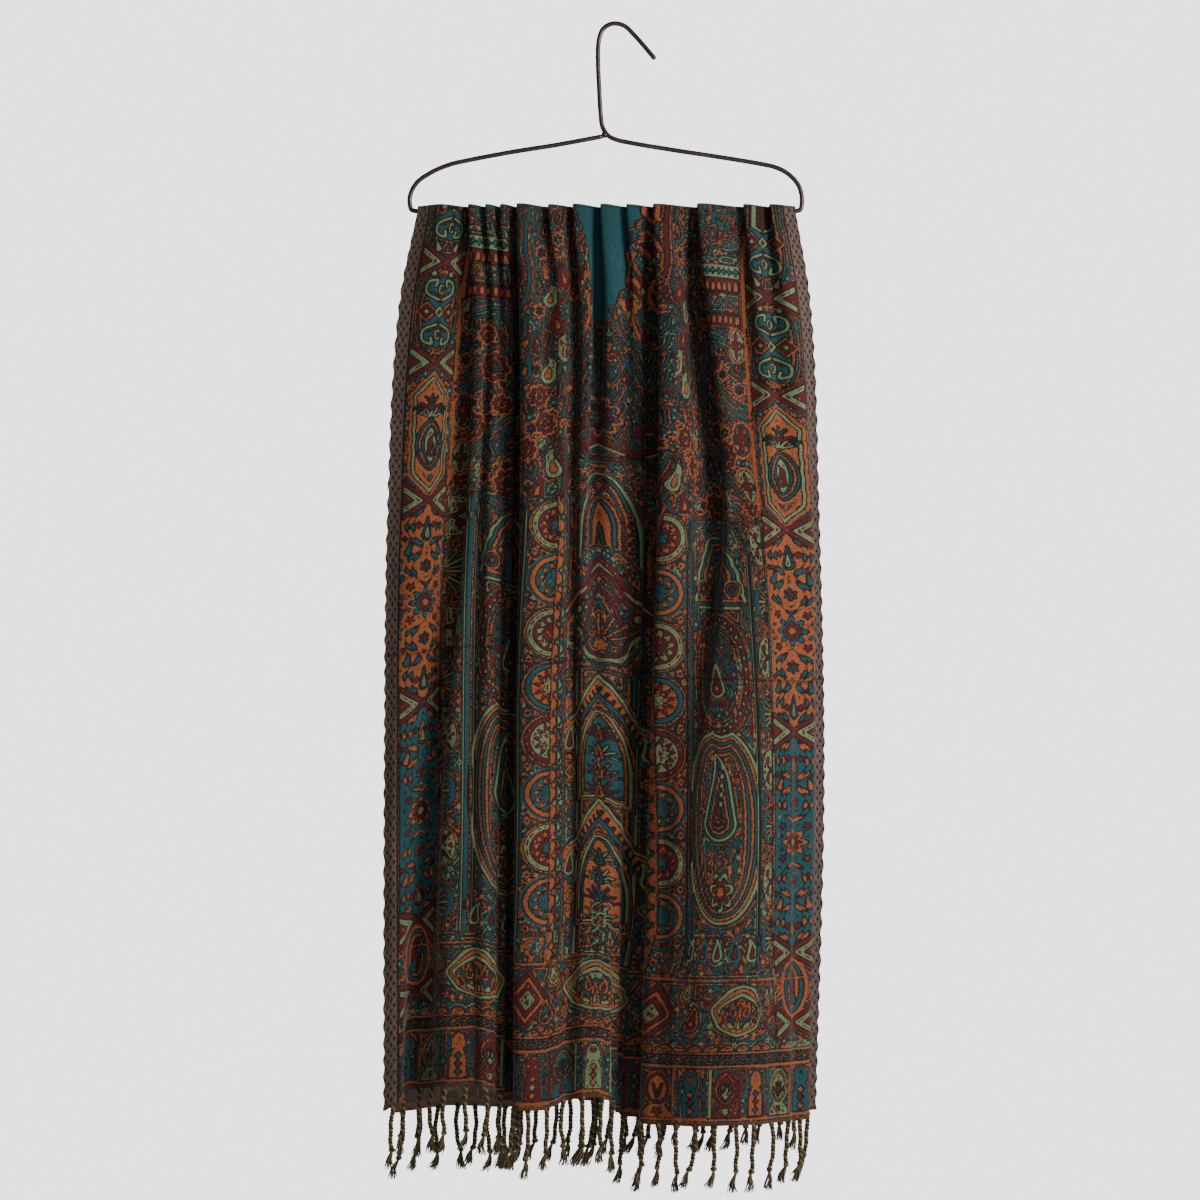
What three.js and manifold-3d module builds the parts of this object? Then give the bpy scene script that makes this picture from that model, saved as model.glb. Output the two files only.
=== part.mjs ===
// A woven scarf with twisted fringe, hung double over the bar of a bent-wire hanger.
// Millimetres, +Z up, +X to the right, -Y towards the viewer. The origin is the underside of the
// hook's crest, where a rail carries the hanger. The cloth is one length: its front stretch, the
// short stretch over the bar and its back stretch are separate walls, parted by a seam gap.
import * as THREE from 'three';
import { mergeVertices } from 'three/addons/utils/BufferGeometryUtils.js';
import Module from 'manifold-3d';

const wasm = await Module();
wasm.setup();

// Driving dimensions.
const CLOTH_WIDTH = 600; // selvedge to selvedge, laid flat
const BAR_SLACK = 0.1; // share of the width that the gathers on the bar press flat
const BAR_SLACK_FADE = 40; // distance below the bar in which it opens again
const WALL = 1.2; // cloth thickness
const SEAM_GAP = 0.3; // clearance between parts that touch
const WIRE_RADIUS = 2.4;
const BAR_Z = -185; // the bar's axis, below the hook's crest
const WRAP_RADIUS = WIRE_RADIUS + SEAM_GAP + WALL / 2; // cloth's mid surface round the bar
const WRAP_RISE = 0.4; // how much of a gather's depth shows as height above the bar
const WRAP_END = 24; // how far below the bar the over-bar stretch ends
const WRAP_TURNS = 5; // rows of the over-bar stretch round the bar
const STAND_OFF = 5; // how far the stretches swing clear of the bar's plane
const STAND_OFF_FADE = 90;
const FOLD_TIGHT = 0.32; // keeps a fold's bend rounder than the wall, per mm of its depth squared
const FOLD_BULGE = 3; // how far a fold's sides may bulge past each other, per mm of its depth
const COLUMNS_A_FOLD = 3; // strips of cloth from one fold line to the next
const FRONT_ROWS = 12;
const BACK_ROWS = 8;

const STRANDS = 30; // twisted strands on each end
const STRAND_LENGTH = 62;
const STRAND_RADIUS = 2.3;
const STRAND_SIDES = 4;
const KNOT_RADIUS = 3;
const TASSEL_RADIUS = 4.6;
const TASSEL_SHARE = 0.27; // share of a strand below its knot
const STRIP_HEIGHT = 3;
const STRIP_THICKNESS = 1.6;

const WIRE_SIDES = 8;
const WIRE_STEPS = 84;
const BEAD_RADIUS = 3.6;

// Fold lines from the left edge to the right: crests and dips in turn. Each has its place across
// (x) and how far it stands out from the cloth's inner plane (out) at five stations down the
// cloth, then how far below the bar the hem hangs on it (drop). Both stretches share the bar's.
const STATIONS = [0, 90, 300, 560, 885];
const FRONT_FOLDS = [
  // [x, out] at the bar, at 90, at 300, at 560 and at the hem, then drop
  [-195, 3, -212, 12, -224, 14, -227, 16, -227, 25, 892], // left edge
  [-173, 8, -183, 16, -199, 19, -215, 20, -218, 26, 888],
  [-143, 1, -145, 4, -150, 4, -178, 4, -201, 5, 873], // left dip, runs to the hem
  [-143, 8, -133, 18, -139, 19, -155, 25, -157, 35, 866],
  [-126, 1, -125, 12, -132, 14, -139, 22, -138, 35, 865], // short gather
  [-126, 8, -119, 16, -122, 20, -127, 27, -129, 39, 866],
  [-111, 1, -111, 10, -113, 17, -117, 21, -121, 34, 870], // short gather
  [-111, 8, -106, 15, -106, 13, -111, 16, -114, 26, 876],
  [-93, 0, -94, 0, -96, 0, -102, 1, -107, 8, 884], // long left dip
  [-93, 10, -84, 27, -80, 32, -84, 35, -85, 44, 889], // roll in front of it
  [-63, 1, -64, 16, -63, 26, -65, 27, -68, 38, 889], // short gather
  [-63, 8, -53, 20, -55, 26, -56, 23, -59, 33, 886],
  [-38, 1, -37, 9, -41, 16, -40, 16, -47, 26, 881], // middle dip
  [-38, 9, -29, 18, -31, 23, -28, 23, -29, 34, 877],
  [-10, 0, -14, 0, -20, 13, -15, 21, -15, 32, 877], // centre dip, dies at half length
  [-10, 9, -2, 14, -5, 17, -7, 21, -6, 27, 881],
  [15, 1, 14, 8, 17, 9, 5, 16, 0, 17, 889], // short gather
  [15, 8, 22, 12, 25, 10, 17, 8, 4, 9, 896],
  [42, 1, 40, 2, 37, 0, 27, 0, 10, 2, 901], // long right dip
  [42, 9, 53, 26, 58, 36, 51, 38, 43, 40, 903], // roll in front of it
  [87, 0, 87, 3, 101, 20, 71, 47, 65, 52, 902], // upper right dip
  [87, 10, 101, 27, 119, 38, 91, 56, 89, 62, 901], // broad right roll
  [132, 1, 131, 14, 137, 39, 114, 60, 114, 64, 900], // short gather
  [132, 8, 144, 22, 155, 38, 139, 57, 139, 57, 900],
  [158, 1, 158, 14, 172, 30, 164, 46, 164, 42, 900], // short gather
  [158, 8, 172, 20, 188, 26, 189, 27, 186, 22, 901],
  [182, 3, 196, 9, 205, 9, 210, 8, 202, 3, 894], // right edge
];
const BACK_FOLDS = [
  // as above, seen from the front
  [-195, 3, -209, 15, -219, 15, -222, 14, -222, 19, 904], // left edge
  [-173, 8, -181, 17, -193, 19, -201, 22, -204, 29, 903],
  [-143, 1, -151, 11, -167, 27, -179, 32, -183, 36, 901],
  [-143, 8, -139, 23, -149, 29, -161, 31, -163, 35, 899],
  [-126, 1, -129, 15, -135, 24, -143, 24, -145, 26, 898],
  [-126, 8, -121, 17, -123, 15, -126, 12, -127, 12, 896],
  [-111, 1, -110, 6, -110, 3, -110, 1, -109, 2, 895], // long dip
  [-111, 8, -99, 21, -93, 24, -90, 27, -85, 34, 893],
  [-93, 0, -87, 19, -79, 34, -73, 38, -67, 43, 892], // roll
  [-93, 10, -75, 25, -65, 32, -57, 32, -51, 36, 891],
  [-63, 1, -62, 10, -52, 20, -43, 19, -37, 19, 890],
  [-63, 8, -50, 17, -40, 10, -30, 5, -25, 5, 889], // long dip
  [-38, 1, -39, 21, -28, 22, -16, 22, -11, 24, 888],
  [-38, 9, -26, 28, -15, 34, -2, 35, 5, 38, 887], // roll
  [-10, 0, -11, 19, -1, 29, 12, 27, 19, 29, 885],
  [-10, 9, 1, 17, 12, 17, 25, 12, 32, 12, 884],
  [15, 1, 17, 6, 26, 5, 38, 1, 45, 2, 882], // long dip
  [15, 8, 31, 21, 40, 22, 52, 23, 59, 26, 881],
  [42, 1, 43, 27, 53, 34, 66, 38, 74, 41, 880], // roll
  [42, 9, 57, 25, 66, 31, 79, 32, 87, 36, 879],
  [87, 0, 83, 8, 87, 10, 95, 14, 101, 14, 878],
  [87, 10, 97, 23, 104, 17, 109, 11, 113, 10, 876], // long dip
  [132, 1, 125, 27, 125, 27, 127, 24, 129, 24, 875],
  [132, 8, 139, 23, 145, 31, 147, 32, 149, 34, 874], // roll
  [158, 1, 155, 15, 162, 24, 165, 24, 166, 26, 873],
  [158, 8, 170, 17, 179, 15, 181, 14, 180, 14, 872],
  [182, 3, 193, 11, 195, 10, 196, 8, 193, 7, 871], // right edge
];

// The hanger's wire, from the hook's tip to its welded end: x and z of its axis.
const WIRE_PATH = [
  [42, -33], [21.5, -9.3], [11, 0.3], [0, 2.4], [-9.7, -2.7], [-14.2, -14.5], [-15, -37], [-14, -60],
  [-12.4, -88], [-10.5, -101], [-5, -109.5], [3, -113.6], [16, -116.6], [60, -124], [104, -130.7],
  [148, -138], [163, -141.5], [175, -147.8], [185, -158.6], [188.6, -169.5], [188.6, -179.5], [187, -183.8],
  [183, BAR_Z], [120, BAR_Z], [0, BAR_Z], [-120, BAR_Z], [-197.5, BAR_Z], [-201.4, -183.8],
  [-203, -179.5],
  [-203, -170], [-196.5, -157], [-181, -146], [-163, -138.5], [-145, -134.3], [-101, -126],
  [-57, -119], [-10.2, -110.4],
];
const WELD = [-8.6, -108.8];

const secant = (xs, values, i) => (values[i + 1] - values[i]) / (xs[i + 1] - xs[i]);

// A cubic from a to b whose end slopes, over the unit span, are given.
function cubic(t, a, b, slopeA, slopeB) {
  const t2 = t * t;
  const t3 = t2 * t;
  return a * (2 * t3 - 3 * t2 + 1) + slopeA * (t3 - 2 * t2 + t)
    + b * (3 * t2 - 2 * t3) + slopeB * (t3 - t2);
}

// The smooth curve through values given at the stations.
function atStation(values, down) {
  const most = STATIONS.length - 2;
  let i = 0;
  while (i < most && down > STATIONS[i + 1]) i += 1;
  const slope = (k) => {
    if (k === 0) return secant(STATIONS, values, 0);
    if (k > most) return secant(STATIONS, values, most);
    return (secant(STATIONS, values, k - 1) + secant(STATIONS, values, k)) / 2;
  };
  const span = STATIONS[i + 1] - STATIONS[i];
  const t = Math.min(1, Math.max(0, (down - STATIONS[i]) / span));
  return cubic(t, values[i], values[i + 1], span * slope(i), span * slope(i + 1));
}

// The slope of out along the fold lines: level on every crest and dip, the harmonic mean of
// its neighbours' on a flank.
function levelSlope(outs, i) {
  if (i === 0 || i === outs.length - 1) return 0;
  const before = outs[i] - outs[i - 1];
  const after = outs[i + 1] - outs[i];
  return before * after > 0 ? (2 * before * after) / (before + after) : 0;
}

// A horizontal section through one stretch: x and out at a place counted in fold lines. Its
// depth is scaled so that its length along the curve is the cloth's width.
function sectionAt(folds, down) {
  const take = (row, first) => [0, 2, 4, 6, 8].map((step) => row[first + step]);
  const xs = folds.map((row) => atStation(take(row, 0), down));
  const flatOuts = folds.map((row) => Math.max(0, atStation(take(row, 1), down)));
  const place = (fold, scale) => {
    const i = Math.min(xs.length - 2, Math.floor(fold));
    const t = fold - i;
    const depth = scale * Math.abs(flatOuts[i + 1] - flatOuts[i]);
    const reach = Math.max(xs[i + 1] - xs[i], Math.min(FOLD_TIGHT * depth * depth, FOLD_BULGE * depth));
    return {
      x: cubic(t, xs[i], xs[i + 1], reach, reach),
      out: scale * cubic(t, flatOuts[i], flatOuts[i + 1], levelSlope(flatOuts, i), levelSlope(flatOuts, i + 1)),
    };
  };
  const lengthAt = (scale) => {
    const steps = (xs.length - 1) * 12;
    let length = 0;
    let last = place(0, scale);
    for (let n = 1; n <= steps; n += 1) {
      const next = place((n / steps) * (xs.length - 1), scale);
      length += Math.hypot(next.x - last.x, next.out - last.out);
      last = next;
    }
    return length;
  };
  const wanted = CLOTH_WIDTH * (1 - BAR_SLACK * Math.exp(-down / BAR_SLACK_FADE));
  let low = 0;
  let high = 4;
  for (let n = 0; n < 30; n += 1) {
    const middle = (low + high) / 2;
    if (lengthAt(middle) < wanted) low = middle;
    else high = middle;
  }
  return (fold) => place(fold, low);
}

const standOff = (down) => STAND_OFF * (1 - Math.exp(-down / STAND_OFF_FADE));
const onBar = sectionAt(FRONT_FOLDS, 0);

// The cloth's mid surface below the bar. side is -1 for the front stretch and 1 for the back.
function hangingPoint(section, fold, down, side) {
  const { x, out } = section(fold);
  return new THREE.Vector3(x, side * (WRAP_RADIUS + standOff(down) + out), BAR_Z - down);
}

// The cloth's mid surface over the bar: half an ellipse, as deep as the gather and less high.
// turn runs from -1, level with the axis in front, to 1, level with it behind.
function overBarPoint(fold, turn) {
  const { x, out } = onBar(fold);
  const angle = (turn * Math.PI) / 2;
  return new THREE.Vector3(
    x,
    (WRAP_RADIUS + out) * Math.sin(angle),
    BAR_Z + (WRAP_RADIUS + WRAP_RISE * out) * Math.cos(angle),
  );
}

// How far below the bar the hem hangs, at a place counted in fold lines.
function dropAt(folds, fold) {
  const i = Math.min(folds.length - 2, Math.floor(fold));
  const [here, next] = [folds[i].at(-1), folds[i + 1].at(-1)];
  return cubic(fold - i, here, next, 0, 0);
}

function geometryOf(points, faces) {
  const geometry = new THREE.BufferGeometry();
  const numbers = points.flatMap((point) => point.toArray());
  geometry.setAttribute('position', new THREE.Float32BufferAttribute(numbers, 3));
  geometry.setIndex(faces);
  return geometry;
}

// A closed wall from a grid of mid-surface points: two skins, half the thickness to either
// side along the grid's own normals, joined round the rim.
function wallFrom(grid, thickness) {
  const rows = grid.length;
  const columns = grid[0].length;
  const clamp = (value, most) => Math.min(most, Math.max(0, value));
  const normalAt = (r, c) => {
    const along = grid[r][clamp(c + 1, columns - 1)].clone().sub(grid[r][clamp(c - 1, columns - 1)]);
    const down = grid[clamp(r + 1, rows - 1)][c].clone().sub(grid[clamp(r - 1, rows - 1)][c]);
    return along.cross(down).normalize();
  };
  const skins = [1, -1].map((side) => grid.map((row, r) => row.map((point, c) => (
    point.clone().addScaledVector(normalAt(r, c), (side * thickness) / 2)
  ))));
  const points = skins.flat(2);
  const at = (skin, r, c) => skin * rows * columns + r * columns + c;
  const faces = [];
  const quad = (a, b, c, d) => faces.push(a, b, c, a, c, d);
  for (let r = 0; r < rows - 1; r += 1) {
    for (let c = 0; c < columns - 1; c += 1) {
      quad(at(0, r, c), at(0, r, c + 1), at(0, r + 1, c + 1), at(0, r + 1, c));
      quad(at(1, r, c), at(1, r + 1, c), at(1, r + 1, c + 1), at(1, r, c + 1));
    }
  }
  for (let c = 0; c < columns - 1; c += 1) {
    quad(at(0, 0, c), at(1, 0, c), at(1, 0, c + 1), at(0, 0, c + 1));
    quad(at(0, rows - 1, c), at(0, rows - 1, c + 1), at(1, rows - 1, c + 1), at(1, rows - 1, c));
  }
  for (let r = 0; r < rows - 1; r += 1) {
    quad(at(0, r, 0), at(0, r + 1, 0), at(1, r + 1, 0), at(1, r, 0));
    quad(at(0, r, columns - 1), at(1, r, columns - 1), at(1, r + 1, columns - 1), at(0, r + 1, columns - 1));
  }
  return geometryOf(points, faces);
}

// A closed body through rings of points, each ring the same number of points.
function bodyThrough(rings) {
  const sides = rings[0].length;
  const faces = [];
  for (let r = 0; r < rings.length - 1; r += 1) {
    for (let s = 0; s < sides; s += 1) {
      const next = (s + 1) % sides;
      const [a, b] = [r * sides + s, r * sides + next];
      const [c, d] = [(r + 1) * sides + next, (r + 1) * sides + s];
      faces.push(a, b, c, a, c, d);
    }
  }
  const last = (rings.length - 1) * sides;
  for (let s = 1; s < sides - 1; s += 1) {
    faces.push(0, s + 1, s);
    faces.push(last, last + s, last + s + 1);
  }
  return geometryOf(rings.flat(), faces);
}

// A ring round a centre, square to a direction and turned about it.
function ringRound(centre, direction, radius, sides, turn) {
  const across = new THREE.Vector3(0, 1, 0);
  const u = across.addScaledVector(direction, -across.dot(direction)).normalize();
  const v = new THREE.Vector3().crossVectors(direction, u);
  return Array.from({ length: sides }, (_, s) => {
    const angle = turn + (2 * Math.PI * s) / sides;
    return centre.clone()
      .addScaledVector(u, radius * Math.cos(angle))
      .addScaledVector(v, radius * Math.sin(angle));
  });
}

function solidOf(geometry) {
  const bare = geometry.clone();
  bare.deleteAttribute('normal');
  bare.deleteAttribute('uv');
  const merged = mergeVertices(bare, 1e-4);
  return new wasm.Manifold(new wasm.Mesh({
    numProp: 3,
    vertProperties: new Float32Array(merged.attributes.position.array),
    triVerts: new Uint32Array(merged.index.array),
  }));
}

function geometryFromSolid(solid) {
  const mesh = solid.getMesh();
  const geometry = new THREE.BufferGeometry();
  geometry.setAttribute('position', new THREE.BufferAttribute(new Float32Array(mesh.vertProperties), 3));
  geometry.setIndex(new THREE.BufferAttribute(new Uint32Array(mesh.triVerts), 1));
  return geometry;
}

function named(name, geometry, material) {
  const mesh = new THREE.Mesh(geometry, material);
  mesh.name = name;
  return mesh;
}

const columnPlaces = (folds) => {
  const columns = (folds.length - 1) * COLUMNS_A_FOLD;
  return Array.from({ length: columns + 1 }, (_, c) => c / COLUMNS_A_FOLD);
};

// One hanging stretch, from below the over-bar stretch to its hem.
function hangingStretch(name, folds, side, rows, material) {
  const top = WRAP_END + SEAM_GAP;
  const columns = columnPlaces(folds);
  const grid = Array.from({ length: rows + 1 }, (_, r) => {
    const share = r / rows;
    const section = sectionAt(folds, top + (STATIONS.at(-1) - top) * share);
    return columns.map((fold) => {
      const down = top + (dropAt(folds, fold) - top) * share;
      return hangingPoint(section, fold, down, side);
    });
  });
  if (side > 0) grid.forEach((row) => row.reverse());
  return named(name, wallFrom(grid, WALL), material);
}

// The short stretch over the bar, from WRAP_END behind to WRAP_END in front.
function overBarStretch(material) {
  const columns = columnPlaces(FRONT_FOLDS);
  const frontEnd = sectionAt(FRONT_FOLDS, WRAP_END);
  const backEnd = sectionAt(BACK_FOLDS, WRAP_END);
  const arc = Array.from({ length: WRAP_TURNS }, (_, r) => {
    const turn = 1 - (2 * r) / (WRAP_TURNS - 1);
    return columns.map((fold) => overBarPoint(fold, turn));
  });
  const grid = [
    columns.map((fold) => hangingPoint(backEnd, fold, WRAP_END, 1)),
    ...arc,
    columns.map((fold) => hangingPoint(frontEnd, fold, WRAP_END, -1)),
  ];
  return named('bar_fold', wallFrom(grid, WALL), material);
}

// A repeatable uneven number from -1 to 1 for strand n.
const uneven = (n, salt) => {
  const wave = Math.sin(n * 12.9898 + salt * 78.233) * 43758.5453;
  return 2 * (wave - Math.floor(wave)) - 1;
};

// One strand: a twisted cord with a knot and a short flared tassel that trails to one side.
function strand(root, n, side) {
  const lean = 3.5 * uneven(n, side + 2) - 2;
  const bow = 2.5 * uneven(n, side + 5);
  const trail = -3.5 + 3.5 * uneven(n, side + 11);
  const length = STRAND_LENGTH * (1 + 0.07 * uneven(n, side + 8));
  const knot = 1 - TASSEL_SHARE;
  const shape = [
    // [share of the length, radius]
    [0, STRAND_RADIUS], [0.28, STRAND_RADIUS], [0.54, STRAND_RADIUS], [knot - 0.03, STRAND_RADIUS],
    [knot + 0.03, KNOT_RADIUS], [0.9, TASSEL_RADIUS], [1, 0.75 * TASSEL_RADIUS],
  ];
  const centreAt = (share) => {
    const below = Math.max(0, share - knot) / TASSEL_SHARE;
    return new THREE.Vector3(
      root.x + lean * share + bow * Math.sin(Math.PI * 1.6 * share) + trail * below,
      root.y + 0.5 * bow * share,
      root.z - length * share,
    );
  };
  const rings = shape.map(([share, radius], i) => {
    const direction = centreAt(share + 0.02).sub(centreAt(share - 0.02)).normalize();
    return ringRound(centreAt(share), direction, radius, STRAND_SIDES, i * 0.5);
  });
  return solidOf(bodyThrough(rings));
}

// A row of fringe: the strands, fused at their roots into a narrow strip under the hem.
function fringeRow(name, folds, side, material) {
  const section = sectionAt(folds, STATIONS.at(-1));
  const columns = columnPlaces(folds);
  const stripPoint = (fold, below) => {
    const point = hangingPoint(section, fold, STATIONS.at(-1), side);
    point.z = BAR_Z - dropAt(folds, fold) - below;
    return point;
  };
  const grid = [SEAM_GAP, SEAM_GAP + STRIP_HEIGHT].map((below) => (
    columns.map((fold) => stripPoint(fold, below))
  ));
  if (side > 0) grid.forEach((row) => row.reverse());

  const fell = columns.map((fold) => stripPoint(fold, SEAM_GAP + STRIP_HEIGHT / 2));
  const along = [0];
  fell.slice(1).forEach((point, c) => along.push(along[c] + point.distanceTo(fell[c])));
  const strands = Array.from({ length: STRANDS }, (_, n) => {
    const wanted = ((n + 0.5) / STRANDS) * along.at(-1);
    const c = along.findIndex((length) => length > wanted);
    const root = fell[c - 1].clone().lerp(fell[c], (wanted - along[c - 1]) / (along[c] - along[c - 1]));
    return strand(root, n, side);
  });
  const row = strands.reduce((joined, next) => joined.add(next), solidOf(wallFrom(grid, STRIP_THICKNESS)));
  return named(name, geometryFromSolid(row), material);
}

// The hanger: one wire from the hook's tip round to its end, and the bead that welds the end to
// the wire's own neck.
function hanger(material) {
  const axis = WIRE_PATH.map(([x, z]) => new THREE.Vector3(x, 0, z));
  const section = new THREE.Shape(Array.from({ length: WIRE_SIDES }, (_, s) => {
    const angle = ((s + 0.5) * 2 * Math.PI) / WIRE_SIDES;
    return new THREE.Vector2(WIRE_RADIUS * Math.cos(angle), WIRE_RADIUS * Math.sin(angle));
  }));
  const wire = new THREE.ExtrudeGeometry(section, {
    extrudePath: new THREE.CatmullRomCurve3(axis, false, 'centripetal'),
    steps: WIRE_STEPS,
  });
  const bead = new THREE.SphereGeometry(BEAD_RADIUS, 10, 7);
  bead.translate(WELD[0], 0, WELD[1]);
  return named('hanger_wire', geometryFromSolid(solidOf(wire).add(solidOf(bead))), material);
}

const clothMaterial = new THREE.MeshStandardMaterial({ color: 0x5a3a24, roughness: 0.85, metalness: 0 });
const fringeMaterial = new THREE.MeshStandardMaterial({ color: 0x3a2d14, roughness: 0.9, metalness: 0 });
const wireMaterial = new THREE.MeshStandardMaterial({ color: 0x3b2d26, roughness: 0.4, metalness: 0.8 });

const scarf = new THREE.Group();
scarf.add(
  hanger(wireMaterial),
  overBarStretch(clothMaterial),
  hangingStretch('front_panel', FRONT_FOLDS, -1, FRONT_ROWS, clothMaterial),
  hangingStretch('back_panel', BACK_FOLDS, 1, BACK_ROWS, clothMaterial),
  fringeRow('fringe_front', FRONT_FOLDS, -1, fringeMaterial),
  fringeRow('fringe_back', BACK_FOLDS, 1, fringeMaterial),
);

export default scarf;
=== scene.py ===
"""A paisley jacquard scarf with a twisted fringe, hung double over a bent-wire hanger.

Metres, +Z up, +X to the right along the bar, -Y towards the viewer. The origin is the underside of
the hook's crest. Lengths in the tables are millimetres, as are the cloth's own coordinates: s across
from its middle, v along it from the bar.
"""

import math

import bpy
import numpy as np
from bpy.props import FloatProperty, FloatVectorProperty, IntProperty, PointerProperty
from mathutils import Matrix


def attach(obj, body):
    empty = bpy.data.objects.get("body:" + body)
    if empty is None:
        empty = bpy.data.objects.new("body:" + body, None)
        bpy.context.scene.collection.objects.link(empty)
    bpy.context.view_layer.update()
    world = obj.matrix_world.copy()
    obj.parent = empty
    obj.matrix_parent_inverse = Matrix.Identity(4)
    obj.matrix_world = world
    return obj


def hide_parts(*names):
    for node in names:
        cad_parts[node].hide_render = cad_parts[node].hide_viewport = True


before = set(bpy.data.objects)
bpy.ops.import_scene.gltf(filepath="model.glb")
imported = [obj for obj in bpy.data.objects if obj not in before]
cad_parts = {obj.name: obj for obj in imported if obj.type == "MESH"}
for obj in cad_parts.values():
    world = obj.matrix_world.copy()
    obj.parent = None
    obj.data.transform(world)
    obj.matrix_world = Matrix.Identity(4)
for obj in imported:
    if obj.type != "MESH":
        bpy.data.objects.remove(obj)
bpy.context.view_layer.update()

bl_info = {
    "name": "Scarf on a wire hanger",
    "version": (1, 0, 0),
    "blender": (4, 5, 0),
    "location": "View3D > Sidebar > Scarf",
    "description": "Makes a patterned woven scarf with a twisted fringe on a bent-wire hanger",
    "category": "Mesh",
}

MM = 0.001
HALF_WIDTH = 300.0  # of the cloth, laid flat
HALF_LENGTH = 885.0  # from the bar to the hem, at the middle
SKEW = 0.074  # how much lower each millimetre to the right hangs in front, and higher behind
BAR_Z = -185.0
WIRE_RADIUS = 2.4
WRAP_RADIUS = 3.3  # from the bar's axis to the cloth's mid surface
WRAP_RISE = 0.4  # how much of a gather's depth shows as height above the bar
WRAP_LENGTH = 4.6  # flat length of a quarter turn round the bar
WRAP_ROWS = 8
HIDDEN_ROWS = {"front": 4, "back": 2}  # the hidden face keeps one row in so many
STAND_OFF = 5.0  # how far the stretches swing clear of the bar's plane
STAND_OFF_FADE = 90.0
FOLD_TIGHT = 0.32  # keeps a fold's bend rounder than the wall, per mm of its depth squared
FOLD_BULGE = 3.0  # how far a fold's sides may bulge past each other, per mm of its depth
BAR_SLACK = 0.1  # share of the width left out at the bar, in gathers too tight to build
BAR_SLACK_FADE = 40.0
FELL = 2.6  # the brown edge below the last pick, where the fringe leaves

# Fold lines, crests and dips in turn from the left edge: place across (x) and distance out from the
# cloth's inner plane (out) at the five stations down the cloth, then the hem's drop below the bar.
STATIONS = (0.0, 90.0, 300.0, 560.0, 885.0)
FRONT_FOLDS = (
    # x, out at the bar, at 90, at 300, at 560 and at the hem, then drop
    (-195, 3, -212, 12, -224, 14, -227, 16, -227, 25, 892),  # left edge
    (-173, 8, -183, 16, -199, 19, -215, 20, -218, 26, 888),
    (-143, 1, -145, 4, -150, 4, -178, 4, -201, 5, 873),  # left dip, runs to the hem
    (-143, 8, -133, 18, -139, 19, -155, 25, -157, 35, 866),
    (-126, 1, -125, 12, -132, 14, -139, 22, -138, 35, 865),  # short gather
    (-126, 8, -119, 16, -122, 20, -127, 27, -129, 39, 866),
    (-111, 1, -111, 10, -113, 17, -117, 21, -121, 34, 870),  # short gather
    (-111, 8, -106, 15, -106, 13, -111, 16, -114, 26, 876),
    (-93, 0, -94, 0, -96, 0, -102, 1, -107, 8, 884),  # long left dip
    (-93, 10, -84, 27, -80, 32, -84, 35, -85, 44, 889),  # roll in front of it
    (-63, 1, -64, 16, -63, 26, -65, 27, -68, 38, 889),  # short gather
    (-63, 8, -53, 20, -55, 26, -56, 23, -59, 33, 886),
    (-38, 1, -37, 9, -41, 16, -40, 16, -47, 26, 881),  # middle dip
    (-38, 9, -29, 18, -31, 23, -28, 23, -29, 34, 877),
    (-10, 0, -14, 0, -20, 13, -15, 21, -15, 32, 877),  # centre dip, dies at half length
    (-10, 9, -2, 14, -5, 17, -7, 21, -6, 27, 881),
    (15, 1, 14, 8, 17, 9, 5, 16, 0, 17, 889),  # short gather
    (15, 8, 22, 12, 25, 10, 17, 8, 4, 9, 896),
    (42, 1, 40, 2, 37, 0, 27, 0, 10, 2, 901),  # long right dip
    (42, 9, 53, 26, 58, 36, 51, 38, 43, 40, 903),  # roll in front of it
    (87, 0, 87, 3, 101, 20, 71, 47, 65, 52, 902),  # upper right dip
    (87, 10, 101, 27, 119, 38, 91, 56, 89, 62, 901),  # broad right roll
    (132, 1, 131, 14, 137, 39, 114, 60, 114, 64, 900),  # short gather
    (132, 8, 144, 22, 155, 38, 139, 57, 139, 57, 900),
    (158, 1, 158, 14, 172, 30, 164, 46, 164, 42, 900),  # short gather
    (158, 8, 172, 20, 188, 26, 189, 27, 186, 22, 901),
    (182, 3, 196, 9, 205, 9, 210, 8, 202, 3, 894),  # right edge
)
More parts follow.
